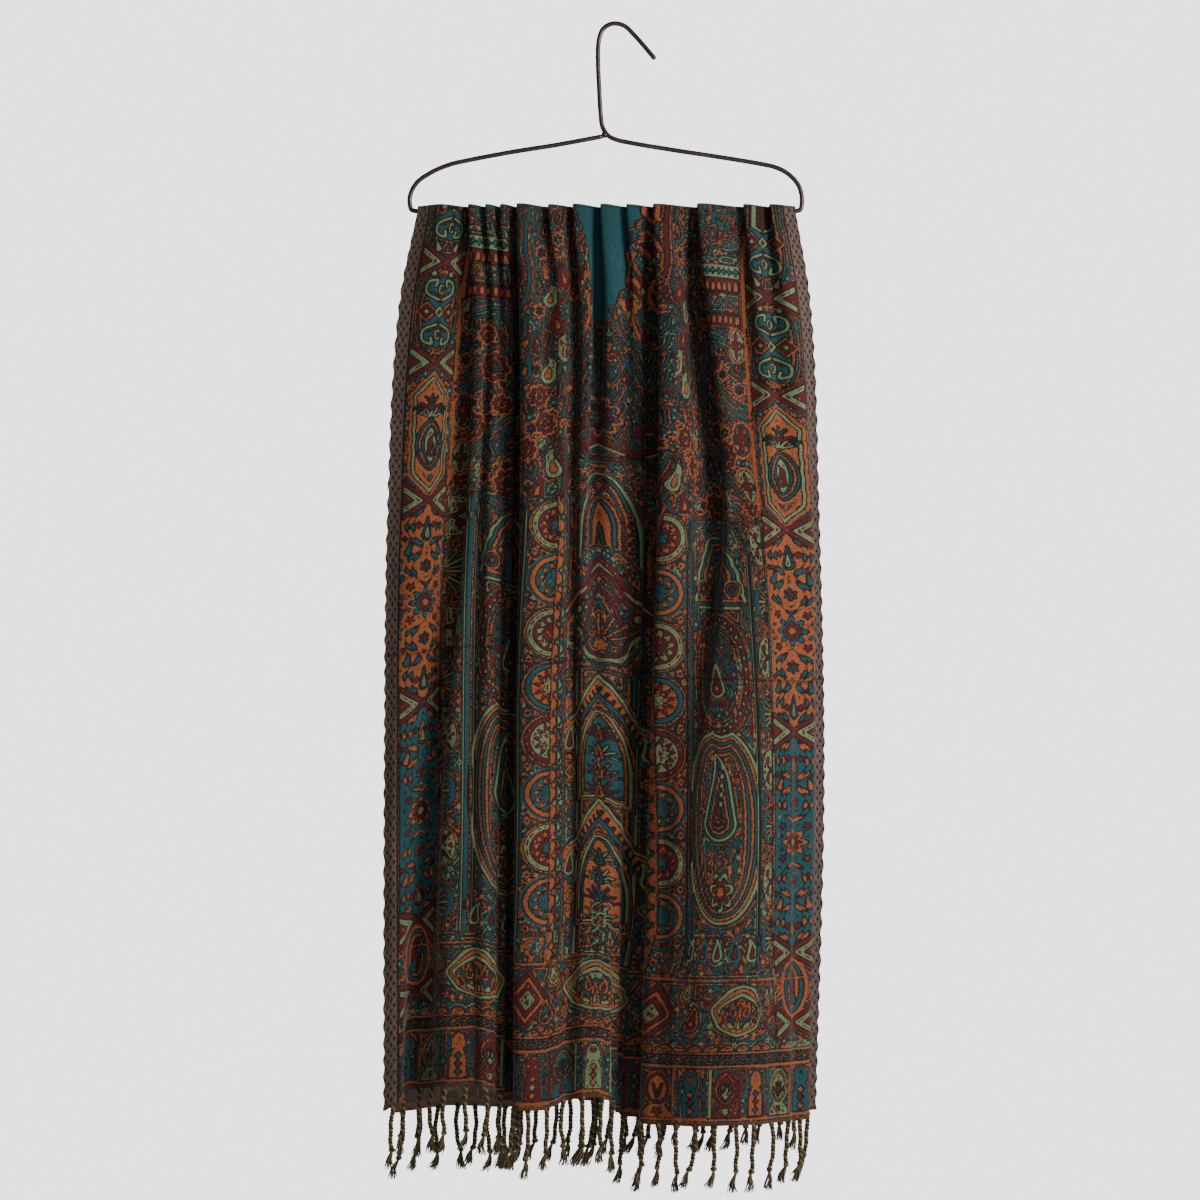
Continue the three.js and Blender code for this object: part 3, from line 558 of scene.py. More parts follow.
def weave_centre(loom):
    """The middle of the cloth: a plain teal pool that ragged flames lick into, a curled bracket under
    it, then capped niches with palmettes one below the other."""
    loom.paint("r", loom.box(0, 50, 235, 747))
    pool = loom.a - 42 + 0.16 * loom.v + 9 * np.abs(np.sin(loom.v / 19)) + 2.5 * np.abs(np.sin(loom.v / 4))
    pool = np.maximum(pool * 0.6, loom.v - 124 - 0.5 * loom.a)
    loom.paint("t", np.maximum(pool, -loom.v - 20), 2.0)
    for a, v0, v1, half in ((0, 112, 205, 10), (22, 92, 175, 8), (42, 44, 130, 8), (12, 140, 222, 10),
                            (33, 122, 224, 10), (50, 84, 190, 7)):
        loom.paint("r", loom.niche(a, v0, v1, half, 4.5))
        for k in range(4):
            low = v0 + 18 * k
            for way in WAYS:
                stem = ((a, low + 34), (a + way * 4, low + 25), (a + way * 5, low + 16))
                loom.plain("t", loom.run(stem, 2.4))
                loom.plain("sm"[k % 2], loom.oval(a + way * 6, low + 36, 1.8, 3))
    for a, v, length, lean in ((52, 34, 36, -14), (48, 66, 34, -16), (40, 98, 34, -14), (30, 124, 36, -12),
                               (52, 4, 26, -14), (24, 70, 30, 6)):
        for name, share in (("r", 1.0), ("m", 0.55), ("r", 0.1)):
            frond = bow(((a, v), (a + lean * 0.3, v - length * 0.5), (a + lean * share, v - length)), 9)
            loom.plain(name, loom.run(frond, 3.4))
        loom.plain("s", loom.oval(a + lean * 0.5, v - length * 0.62, 1.8, 3.6))
    loom.nest("rtmr", loom.rosette(0, 208, 19, 9, 0.35, 1.1), 3.0)
    curl = bow(((0, 232), (16, 239), (32, 236), (42, 224), (36, 212), (27, 218), (32, 226)), 18)
    loom.plain("s", loom.run(curl + (0, 3.6), 3.6))
    loom.plain("m", loom.run(curl, 4.4))
    fillet = loom.run(bow(((0, 250), (14, 249), (28, 242), (44, 262), (60, 288)), 12), 5)
    loom.plain("m", fillet)
    loom.plain("s", np.maximum(fillet + 1.6, 1.2 - np.abs(loom.a % 6 - 3)))
    # a niche with a vase in it, and rows of rings between its outlines
    loom.nest("strt", loom.niche(0, 264, 745, 29), 3.0)
    loom.nest("rtr", loom.niche(0, 288, 400, 15), 2.8)
    loom.nest("mrm", loom.lozenge(0, 277, 7, 9), 2.6)
    loom.nest("trt", loom.leaf(0, 364, 7.5, 50, 0), 2.4)
    for v in np.arange(304, 350, 9):
        loom.nest("rm", loom.oval(20, v, 3.6, 3.6), 2.2)
    # a cap over a palmette in a cup
    cap = bow(((0, 350), (10, 362), (18, 376), (32, 384), (44, 398)), 12)
    loom.paint("r", np.maximum(loom.run(((0, 366), (0, 452)), 60), loom.v - 462))
    for name, lower, width in (("s", 5.5, 4.4), ("m", 0, 4.6), ("m", 10, 3.4)):
        loom.plain(name, loom.run(cap + (0, lower), width))
    loom.nest("mt", loom.leaf(0, 428, 22, 50, 0), 3.2)
    loom.plain("r", loom.fan(0, 434, 9, 28, 9, 1.35, 2.6))
    loom.plain("r", loom.rosette(0, 436, 7, 7, 0.4))
    cup = bow(((26, 420), (19, 430), (15, 446), (0, 452)), 10)
    loom.plain("s", loom.run(cup, 4.4))
    loom.plain("m", loom.run(cup - (0, 5), 2.2))
    loom.nest("ms", loom.oval(25, 402, 5.5, 6.5), 2.4)
    # combed chevrons over a tree, twice
    for v0, ground, leafy in ((468, "t", "m"), (592, "r", "s")):
        other = OPPOSITE[ground]
        slope = bow(((0, v0), (14, v0 + 16), (24, v0 + 34), (36, v0 + 42)), 10)
        loom.plain("r", loom.run(slope + (0, 8), 17))
        for k in range(2, 38, 4):
            loom.plain("t", loom.run(((k, v0 + 8 + 1.25 * k), (k - 2.5, v0 + 14 + 1.25 * k)), 1.7))
        loom.plain("s", loom.run(slope, 3.2))
        loom.plain("t", loom.run(slope + (0, 19), 3.4))
        loom.nest("rs" + other + ground, loom.niche(0, v0 + 32, v0 + 124, 27), 2.7)
        for k, name in enumerate(leafy + other + "s" + leafy):
            foot = v0 + 118 - 19 * k
            loom.plain(name, loom.fan(0, foot, 5, 17 - 1.5 * k, 7, 1.3, 2.0))
            loom.nest(other + leafy, loom.leaf(0, foot, 3.6, 13, 0), 2.2)
        loom.nest("sm", loom.leaf(37, v0 + 66, 7, 20, -3, 3), 2.8)
        loom.nest("rsm", loom.rosette(36, v0 + 94, 7, 4, 0.3), 2.6)
    for v in np.arange(700, 742, 13):
        loom.nest("srm", loom.rosette(0, v, 7, 6, 0.3), 2.2)
        loom.nest("rs", loom.rosette(18, v + 6, 6, 5, 0.4), 2.4)
    loom.rules((("s", 29), ("s", 42)), 1.1, 716, 745)
    # the comb beside the roundels
    comb = loom.box(46, 61, 292, 745)
    loom.paint("t", comb)
    for n, v in enumerate(np.arange(300, 742, 17.5)):
        loom.plain("r", np.maximum(loom.oval(61, v, 6, 6.4), comb))
        loom.nest("sr"[n % 2] + "m", loom.leaf(51, v + 4, 3.6, 11, 1.5), 2.2)
    loom.rules((("r", 61.4),), 1.2, 285, 745)


def weave_crossing(loom, v):
    """The X between two cartouches: maroon bars, with a sage arrowhead to either side."""
    away = np.abs(loom.a - CARTOUCHE_A)
    across = (np.abs(loom.v - v) - CROSS_SLOPE * away) / math.hypot(1, CROSS_SLOPE)
    column = away - 23.4
    loom.plain("m", np.maximum(np.abs(across) - 2.0, column))
    loom.plain("s", np.maximum(np.maximum(across + 2.4, column), 4.5 - away))
    loom.plain("m", np.maximum(np.maximum(across + 7.4, column), 13 - away))


def weave_cartouches(loom):
    """The column of cartouches beside the selvedge, parted by crossings: two with lyres, a hexagon,
    two long ones with waved ogees and blossoms, and an egg."""
    a, half = CARTOUCHE_A, 23.5
    column = loom.box(a - half, a + half, -20, 816)
    loom.paint("r", column)
    knots = (-40, 71, 169, 303, 502, 720, 790)
    for n, (v0, v1) in enumerate(zip(knots, knots[1:])):
        middle, tall = (v0 + v1) / 2, (v1 - v0) / 2
        if n < 2:
            loom.nest("trt", np.maximum(loom.oval(a, middle, half - 3.4, tall - 5, 2.4), column + 3), 2.6)
            for way in WAYS:
                loom.nest("rms", loom.lozenge(a + way * 11.5, middle, 10, 11), 2.6)
                loom.plain("m", loom.fan(a, middle + way * 9, -2 * way, -12 * way, 3, 0.7, 3.0))
                loom.plain("r", loom.fan(a, middle + way * 33, -3 * way, -13 * way, 5, 1.0, 2.2))
                for lean in WAYS:
                    lyre = bow([(a + lean * x, middle + way * y)
                                for x, y in ((2, 12), (13, 18), (13, 28), (5, 31), (6, 25))], 14)
                    loom.plain("s", loom.run(lyre, 3.0))
                    tip = middle + way * 40 + 3
                    loom.plain("s", loom.leaf(a + lean * 9, tip, 2.8, 8, lean * 4, lean * 3))
                loom.nest("sm", loom.oval(a, middle + way * 22, 3.4, 5.6), 2.4)
            loom.nest("sm", loom.lozenge(a, middle, 5, 7), 2.6)
        elif n == 2:
            away = np.abs(loom.a - a)
            shape = np.maximum(away - 20, np.abs(loom.v - middle - 3) * 0.6 + away * 0.7 - 38)
            loom.nest("rsr", shape + 0.8 * np.abs(np.sin(loom.v / 5)), 2.9)
            loom.nest("trts", loom.oval(a, middle + 13, 14, 25, 1.7), 2.7)
            loom.nest("mr", loom.leaf(a - 1, middle + 20, 4.6, 18, 3, 4), 2.5)
            for k, name in enumerate("smt"):
                loom.plain(name, loom.fan(a, middle - 14 - 7 * k, 2, 14 - 3 * k, 5 - k, 1.25 - 0.2 * k, 2.4))
            for lean in WAYS:
                loom.nest("tm", loom.rosette(a + lean * 12, middle - 22, 4.4, 4, 0.5), 2.2)
        elif n < 5:
            ground, other, heart = ("rtr", "trs")[n - 3]
            loom.plain(ground, loom.box(a - half + 1, a + half - 1, v0, v1))
            for way in WAYS:
                for lean in WAYS:
                    for share in (1.0, 0.7):
                        ogee = bow([(a + lean * share * x, middle + way * tall * y) for x, y in OGEE], 28)
                        loom.plain(other, loom.run(ogee, 1.6) + 1.1 * np.sin(loom.v / 2.3))
                    bend = middle + way * tall * 0.54
                    loom.plain(other, loom.leaf(a + lean * 17, bend + 5, 3.2, 11, -lean * 4, -lean * 3))
                    loom.plain("m", loom.rosette(a + lean * 8, middle + way * tall * 0.76, 3.4, 4, 0.5))
                    loom.plain("m", loom.rosette(a + lean * 20, bend - 8, 2.6, 4, 0.5))
                loom.nest(other + "sm", loom.leaf(a, middle + way * tall * 0.74 + 8, 5.5, 19, 0), 2.2)
                loom.nest(other + "m", loom.rosette(a, middle + way * tall * 0.36, 6.5, 6, 0.4), 2.4)
            for name, r, cut in ((other, 15, 0.45), ("m", 9.5, 0.5), (heart, 4.6, 0.4)):
                loom.plain(name, loom.rosette(a, middle, r, 8, cut))
            for way in WAYS:
                for lean in WAYS:
                    loom.plain("m", loom.rosette(a + lean * 14, middle + way * 16, 4, 5, 0.6))
        else:
            loom.nest("rtrm", loom.oval(a, middle, 17, 30), 4)
            for way in WAYS:
                loom.plain("t", loom.leaf(a + way * 3, middle + way * 9 + 4, 4, 12, -way * 3, 3))
    for v in knots[1:]:
        weave_crossing(loom, v)
    loom.rules((("r", 229), ("r", 277.2)), 1.0, -20, 816)


def weave_hem(loom):
    """The end border: lobed medallions between crossed bars, a rule and a guilloche, then a row of
    niches, each with a palmette over a footed vase, and narrow niches between them."""
    loom.paint("t", loom.box(0, 228, 747, 816))
    bars = np.abs(np.abs(loom.v - 790) - CROSS_SLOPE * np.abs(loom.a - 208)) - 2
    loom.plain("m", np.maximum(bars, loom.box(206, 229, 750, 815)))
    for a, half in ((0, 40), (172, 33)):
        lobes = loom.oval(a, 776, half, 28, 1.6) + 2.0 * np.abs(np.sin(loom.v / 6)) + 1.2
        loom.nest("srst", lobes, 3.6)
        for way in WAYS:
            for k in (0, 1):
                leaf = loom.leaf(a + way * (7 + 9 * k), 778 + 8 * k, 4.6, 13, way * 3, way * 3)
                loom.nest("rm", leaf, 2.6)
        loom.nest("rs", loom.leaf(a, 792, 5, 22, 0), 2.6)
    loom.nest("mrms", loom.lozenge(78, 780, 24, 30), 4)
    for a, v, name in ((50, 762, "s"), (110, 760, "s"), (122, 788, "m"), (212, 764, "s"), (56, 796, "t")):
        loom.nest("r" + name, loom.leaf(a, v, 9, 17, 5, 4), 2.8)
        loom.plain("r", loom.rosette(a, v, 3.4, 4, 0.6))
    for a in np.arange(4, 228, 16):
        loom.nest("rm", np.maximum(loom.oval(a, 816, 7, 7), loom.v - 815), 2.8)
    for v in (745.5, 816.5, 829.5, 881.5):
        loom.plain("r", loom.box(0, 277, v - 1.4, v + 1.4))
    band = loom.box(0, 277, 818, 828)
    loom.plain("t", band)
    for way in WAYS:
        wave = np.abs(loom.v - 823 - 2.8 * way * np.sin(loom.a / 3.4)) - 1.1
        loom.plain("r", np.maximum(wave, band))
    for n, name in enumerate("smtrt"):
        a = 66.0 * n
        other = "t" if name == "r" else "r"
        panel = loom.box(a - 10.4, a + 10.4, 832, 880)
        loom.paint(other, panel)
        loom.plain(name, np.maximum(loom.niche(a, 834, 850, 7, 0.8), panel + 1))
        loom.plain(name, np.maximum(loom.niche(a, 847, 882, 8.5), panel + 1))
        for k, spot in enumerate((other, "s" if name == "m" else "m", other)):
            loom.plain(spot, loom.rosette(a, 857 + 8 * k, 3.6, 4, 0.4))
    for n, (name, ground, spot) in enumerate(("trm", "rtm", "mrs", "stm")):
        a = 33.0 + 66.0 * n
        panel = loom.box(a - 16.6, a + 16.6, 832, 880)
        loom.paint(ground, panel)
        arch = np.maximum(loom.oval(a, 852, 13.6, 18.5, 1.7), panel)
        loom.nest((name, spot if name == "r" else "r", name), arch, 2.7)
        for k in range(-2, 3):
            frond = loom.run(((a, 862), (a + 3.4 * k, 846 + 1.6 * k * k)), 1.9)
            loom.plain(spot if k % 2 else "sr"[n % 2], frond)
        flare = 5 + 11 * np.clip((loom.v - 866) / 12, 0, 1)
        foot = np.maximum(np.abs(loom.a - a) - flare, np.abs(loom.v - 873.5) - 6.5)
        loom.plain(name, foot * 0.8)
        loom.plain(spot, loom.rosette(a, 874, 4.4, 5, 0.6))
    for n in range(9):
        a = 18.0 + 33 * n - 3 * (n % 2)
        loom.plain("smtr"[n % 4], loom.box(a - 1.6, a + 1.6, 832, 880))


def woven_pattern(s, v):
    """The yarns' depths over the cloth: every motif of one half, mirrored to the other."""
    loom = Loom(np.abs(figure_place(s, v)), v)
    for weave in (weave_shoulders, weave_medallions, weave_palmettes, weave_roundels, weave_centre,
                  weave_cartouches, weave_hem):
        weave(loom)
    return loom


# ---- meshes -----------------------------------------------------------------------------------

def normals_of(points):
    """Unit normals of a grid of points, from the cross product of its two central differences."""
    across = np.gradient(points, axis=1)
    down = np.gradient(points, axis=0)
    normal = np.cross(across, down)
    return normal / np.maximum(np.linalg.norm(normal, axis=-1, keepdims=True), 1e-9)


def quads_of(index):
    """Quads over a grid of vertex numbers, wound so that they face along across x down."""
    corners = (index[:-1, :-1], index[:-1, 1:], index[1:, 1:], index[1:, :-1])
    return np.stack([c.ravel() for c in corners], axis=-1)


def fan_between(fine, coarse):
    """Triangles that close the strip between a fine line of vertices and a coarse one whose every
    vertex faces every k-th of the fine: half of each run fans to one coarse end, half to the next."""
    k = (len(fine) - 1) // (len(coarse) - 1)
    i = np.arange(len(fine) - 1)
    near = coarse[(i + k // 2) // k]
    first = np.stack([fine[:-1], fine[1:], near], axis=-1)
    middle = fine[np.arange(len(coarse) - 1) * k + k // 2]
    second = np.stack([coarse[:-1], middle, coarse[1:]], axis=-1)
    return np.concatenate([first, second])


def mesh_object(name, points, faces, normals=None):
    """An object from points in millimetres and a list of face arrays of 3 or 4 corners each."""
    mesh = bpy.data.meshes.new(name)
    loops = np.concatenate([f.ravel() for f in faces]).astype(np.int32)
    sizes = np.concatenate([np.full(len(f), f.shape[1]) for f in faces])
    starts = np.concatenate([[0], np.cumsum(sizes)[:-1]]).astype(np.int32)
    mesh.vertices.add(len(points))
    mesh.vertices.foreach_set("co", (points * MM).astype(np.float32).ravel())
    mesh.loops.add(len(loops))
    mesh.loops.foreach_set("vertex_index", loops)
    mesh.polygons.add(len(sizes))
    mesh.polygons.foreach_set("loop_start", starts)
    mesh.polygons.foreach_set("use_smooth", np.ones(len(sizes), bool))
    mesh.update(calc_edges=True)
    mesh.validate()
    if normals is not None:
        mesh.normals_split_custom_set_from_vertices(normals.astype(np.float32))
    piece = bpy.data.objects.new(name, mesh)
    bpy.context.scene.collection.objects.link(piece)
    return piece


def point_vectors(piece, name, *columns):
    """Stores three values per vertex as a named attribute."""
    attribute = piece.data.attributes.new(name, "FLOAT_VECTOR", "POINT")
    attribute.data.foreach_set("vector", np.stack(columns, axis=-1).astype(np.float32).ravel())


def islands(piece, flat, is_outer):
    """The UV map OFBake: the outer skin fills the upper half of the square and the inner skin the
    lower, each laid out as the flat cloth; faces of the rim go with the inner skin."""
    mesh = piece.data
    corner = np.empty(len(mesh.loops), np.int32)
    mesh.loops.foreach_get("vertex_index", corner)
    starts = np.empty(len(mesh.polygons), np.int32)
    mesh.polygons.foreach_get("loop_start", starts)
    sizes = np.diff(np.append(starts, len(corner)))
    face = np.repeat(np.arange(len(starts)), sizes)
    whole = np.logical_and.reduceat(is_outer[corner], starts)[face]
    low, high = flat.min(axis=0), flat.max(axis=0)
    uv = (flat - low) / (high - low)
    uv = 0.01 + 0.98 * uv[corner]
    uv[:, 1] = uv[:, 1] * 0.485 + np.where(whole, 0.505, 0.005)
    layer = mesh.uv_layers.new(name="OFBake")
    layer.data.foreach_set("uv", uv.astype(np.float32).ravel())


def cloth_pieces(stretch, folds, side, pitch, strips, thickness, materials):
    """One hanging stretch with its half of the wrap, as a thin closed shell cut into strips along
    the folds. The face that shows is fine and carries the pattern; the hidden face has every second
    column and fewer rows."""
    step = HIDDEN_ROWS[stretch]
    columns = int(round(2 * HALF_WIDTH / pitch / strips / 2)) * 2
    across = np.linspace(-HALF_WIDTH, HALF_WIDTH, columns * strips + 1)
    rows = int(round(HALF_LENGTH / pitch / 8)) * 8
    low = np.append(np.linspace(0, HALF_LENGTH, rows + 1), HALF_LENGTH + FELL * np.array([0.6, 1.0]))
    low = np.interp(np.linspace(0, 1, rows + 1), np.linspace(0, 1, len(low)), low)
    top, top_v = over_bar(side, across, np.linspace(0, 1, WRAP_ROWS + 1)[:-1])
    body, body_v = hanging(folds, side, across, low)
    middle = np.concatenate([top, body])
    flat_v = np.concatenate([top_v, body_v])
    flat_s = np.broadcast_to(across, flat_v.shape)
    flat_q = np.broadcast_to(np.append(np.zeros(WRAP_ROWS), low)[:, None], flat_v.shape)
    outward = normals_of(middle) * (-side)
    outward *= np.sign((outward[..., 1:2] * side).mean())

    def both(shown, hidden, c):
        """The values in columns c of the fine face, then those of the coarse one behind it."""
        parts = (shown[:, c], hidden[::step, c][:, ::2])
        return np.concatenate([part.reshape(-1, *shown.shape[2:]) for part in parts])

    for n in range(strips):
        c = slice(n * columns, (n + 1) * columns + 1)
        fine, coarse = (np.arange(grid.size).reshape(grid.shape)
                        for grid in (flat_v[:, c], flat_v[::step, c][:, ::2]))
        coarse = coarse + fine.size
        faces = [quads_of(fine), quads_of(coarse)[:, ::-1],
                 fan_between(fine[0], coarse[0])[:, ::-1], fan_between(fine[-1], coarse[-1]),
                 fan_between(fine[:, 0], coarse[:, 0]), fan_between(fine[:, -1], coarse[:, -1])[:, ::-1]]
        if side < 0:
            faces = [f[:, ::-1] for f in faces]
        points = both(middle + outward * thickness / 2, middle - outward * thickness / 2, c)
        piece = mesh_object(f"cloth_{stretch}_{n + 1}", points, faces, both(outward, -outward, c))
        s, v, q = (both(values, values, c) for values in (flat_s, flat_v, flat_q))
        loom = woven_pattern(s, np.maximum(v, 0))
        rust, teal, sage, maroon = (loom.yarn[name] for name in YARNS)
        point_vectors(piece, "yarns_main", rust, teal, sage)
        point_vectors(piece, "yarns_accent", maroon, 0 * maroon, loom.clear)
        point_vectors(piece, "cloth_flat", s, v, q)
        islands(piece, np.stack([s, np.minimum(v, 0) - q], axis=-1), np.arange(len(s)) < fine.size)
        for material in materials:
            piece.data.materials.append(material)
        hidden = np.arange(len(piece.data.polygons)) >= len(faces[0])
        piece.data.polygons.foreach_set("material_index", hidden.astype(np.int32))
        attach(piece, "root")
        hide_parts(f"{stretch}_panel", "bar_fold")


def joined(name, made):
    """One object from several sets of tubes, each (points, quads, end faces, tints); also returns the
    tints of all its points."""
    starts = np.cumsum([0] + [len(points) for points, *_ in made])
    points = np.concatenate([points for points, *_ in made])
    quads = np.concatenate([quads + start for (_, quads, *_), start in zip(made, starts)])
    caps = [caps + start for (_, _, caps, _), start in zip(made, starts)]
    return mesh_object(name, points, [quads, *caps]), np.concatenate([tints for *_, tints in made])


def uneven(n, salt):
    """A repeatable uneven number from -1 to 1 for strand n: the fraction of a fast sine."""
    wave = np.sin(n * 12.9898 + salt * 78.233) * 43758.5453
    return 2 * (wave - np.floor(wave)) - 1


def tubes(centres, radii, sides):
    """Closed tubes round many centre lines at once: (lines, steps, 3) and (lines, steps). A ring
    stands square to each line, built on the cross product of its direction and the Y axis. Returns
    points, quads and end faces."""
    lines, steps, _ = centres.shape
    along = np.gradient(centres, axis=1)
    along /= np.linalg.norm(along, axis=-1, keepdims=True)
    u = np.cross(along, np.array([0.0, 1.0, 0.0]))
    u /= np.maximum(np.linalg.norm(u, axis=-1, keepdims=True), 1e-6)
    w = np.cross(along, u)
    angle = np.arange(sides) * 2 * math.pi / sides
    ring = (np.cos(angle)[:, None] * u[:, :, None] + np.sin(angle)[:, None] * w[:, :, None])
    points = centres[:, :, None] + radii[:, :, None, None] * ring
    index = np.arange(lines * steps * sides).reshape(lines, steps, sides)
    nxt = np.roll(index, -1, axis=2)
    quads = np.stack([index[:, :-1], nxt[:, :-1], nxt[:, 1:], index[:, 1:]], axis=-1).reshape(-1, 4)
    caps = np.concatenate([index[:, 0, ::-1], index[:, -1]])
    return points.reshape(-1, 3), quads, caps


def fringe_piece(name, folds, side, material):
    """A row of fringe. Each strand's line starts on the hem at equal flat distances, leans and bows;
    two plies wind round it down to the knot, where a tuft of fine ends flares and trails aside."""
    x, out, s, drop = sections(folds, np.array([HALF_LENGTH]))
    n = np.arange(STRANDS)
    flat = ((n + 0.5) / STRANDS * 2 - 1) * HALF_WIDTH
    root_x, root_out, root_drop = (np.interp(flat, s[0], k[0]) for k in (x, out, drop))
    stand = STAND_OFF * (1 - math.exp(-HALF_LENGTH / STAND_OFF_FADE))
    root = np.stack([root_x, side * (WRAP_RADIUS + stand + root_out), BAR_Z - root_drop - 1.8], axis=-1)
    lean, bow_by, trail, length = (column[:, None] for column in (
        3.5 * uneven(n, side + 2) - 2, 2.5 * uneven(n, side + 5), 3.5 * uneven(n, side + 11) - 3.5,
        STRAND_LENGTH * (1 + 0.07 * uneven(n, side + 8))))
    knot = 1 - TASSEL_SHARE

    def line(share):
        """The strands' middle lines at shares of their length."""
        below = np.maximum(0, share - knot) / TASSEL_SHARE
        kink = 0.9 * np.sin(share * 19 + n[:, None] * 2.1)
        sway = lean * share + bow_by * np.sin(math.pi * 1.6 * share) + trail * below + kink * share
        return np.stack([root[:, :1] + sway, root[:, 1:2] + (0.5 * bow_by + 0.6 * kink) * share,
                         root[:, 2:] - length * share], axis=-1)

    share = np.broadcast_to(np.linspace(0, knot + 0.02, PLY_STEPS), (STRANDS, PLY_STEPS))
    turn = share * length / PLY_PITCH * 2 * math.pi + n[:, None]
    swell = 1 + 0.45 * np.exp(-((share - knot) / 0.02) ** 2) + 0.35 * np.exp(-(share / 0.035) ** 2)
    made = []
    for ply in (0, 1):
        phase = turn + ply * math.pi
        wind = np.stack([np.cos(phase), np.sin(phase), 0 * phase], axis=-1)
        tube = tubes(line(share) + 1.15 * swell[..., None] * wind, 1.45 * swell, 6)
        made.append((*tube, np.full(len(tube[0]), float(ply))))
    k = np.arange(STRANDS * TUFT_ENDS)
    strand, end = k // TUFT_ENDS, k % TUFT_ENDS
    t = np.linspace(0, 1, TUFT_STEPS)
    base = line(np.broadcast_to(knot + 0.01 + t * (1.02 - knot), (STRANDS, TUFT_STEPS)))[strand]
    spread = 4.9 * np.sqrt((end + 0.5) / TUFT_ENDS) * (1 + 0.25 * uneven(k, 3))
    flare = (t ** 0.8)[None] * spread[:, None]
    angle = (end * GOLDEN_ANGLE)[:, None]
    wisp = 0.7 * np.sin(t[None] * 5 + k[:, None]) * t[None]
    hair = base + np.stack([flare * np.cos(angle) + wisp, flare * np.sin(angle),
                            t * (1.8 * uneven(k, 7))[:, None]], axis=-1)
    tube = tubes(hair, np.broadcast_to(0.8 * (1 - 0.6 * t), (len(k), TUFT_STEPS)), 4)
    made.append((*tube, np.repeat((end % 3 == 0).astype(float), TUFT_STEPS * 4)))
    piece, tint = joined(name, made)
    point_vectors(piece, "ply", tint, 0 * tint, 0 * tint)
    piece.data.materials.append(material)
    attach(piece, "root")
    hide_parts(name)


def wire_axis(points, steps):
    """A centripetal Catmull-Rom line through points, whose knots are spaced by the square root of
    the distance between them, as the pyramid of linear blends."""
    p = np.array(points, float)
    p = np.concatenate([[2 * p[0] - p[1]], p, [2 * p[-1] - p[-2]]])
    knots = np.concatenate([[0], np.cumsum(np.linalg.norm(np.diff(p, axis=0), axis=1) ** 0.5)])
    fine = np.concatenate([knots[i] + np.linspace(0, 1, steps, endpoint=False) * (knots[i + 1] - knots[i])
                           for i in range(1, len(p) - 2)] + [[knots[-2]]])
    i = np.clip(np.searchsorted(knots, fine, side="right") - 1, 1, len(p) - 3)

    def blend(a, b, ta, tb):
        return ((tb - fine)[:, None] * a + (fine - ta)[:, None] * b) / (tb - ta)[:, None]

    t0, t1, t2, t3 = (knots[i + k] for k in (-1, 0, 1, 2))
    p0, p1, p2, p3 = (p[i + k] for k in (-1, 0, 1, 2))
    a1, a2, a3 = blend(p0, p1, t0, t1), blend(p1, p2, t1, t2), blend(p2, p3, t2, t3)
    return blend(blend(a1, a2, t0, t2), blend(a2, a3, t1, t3), t1, t2)


# ---- materials --------------------------------------------------------------------------------

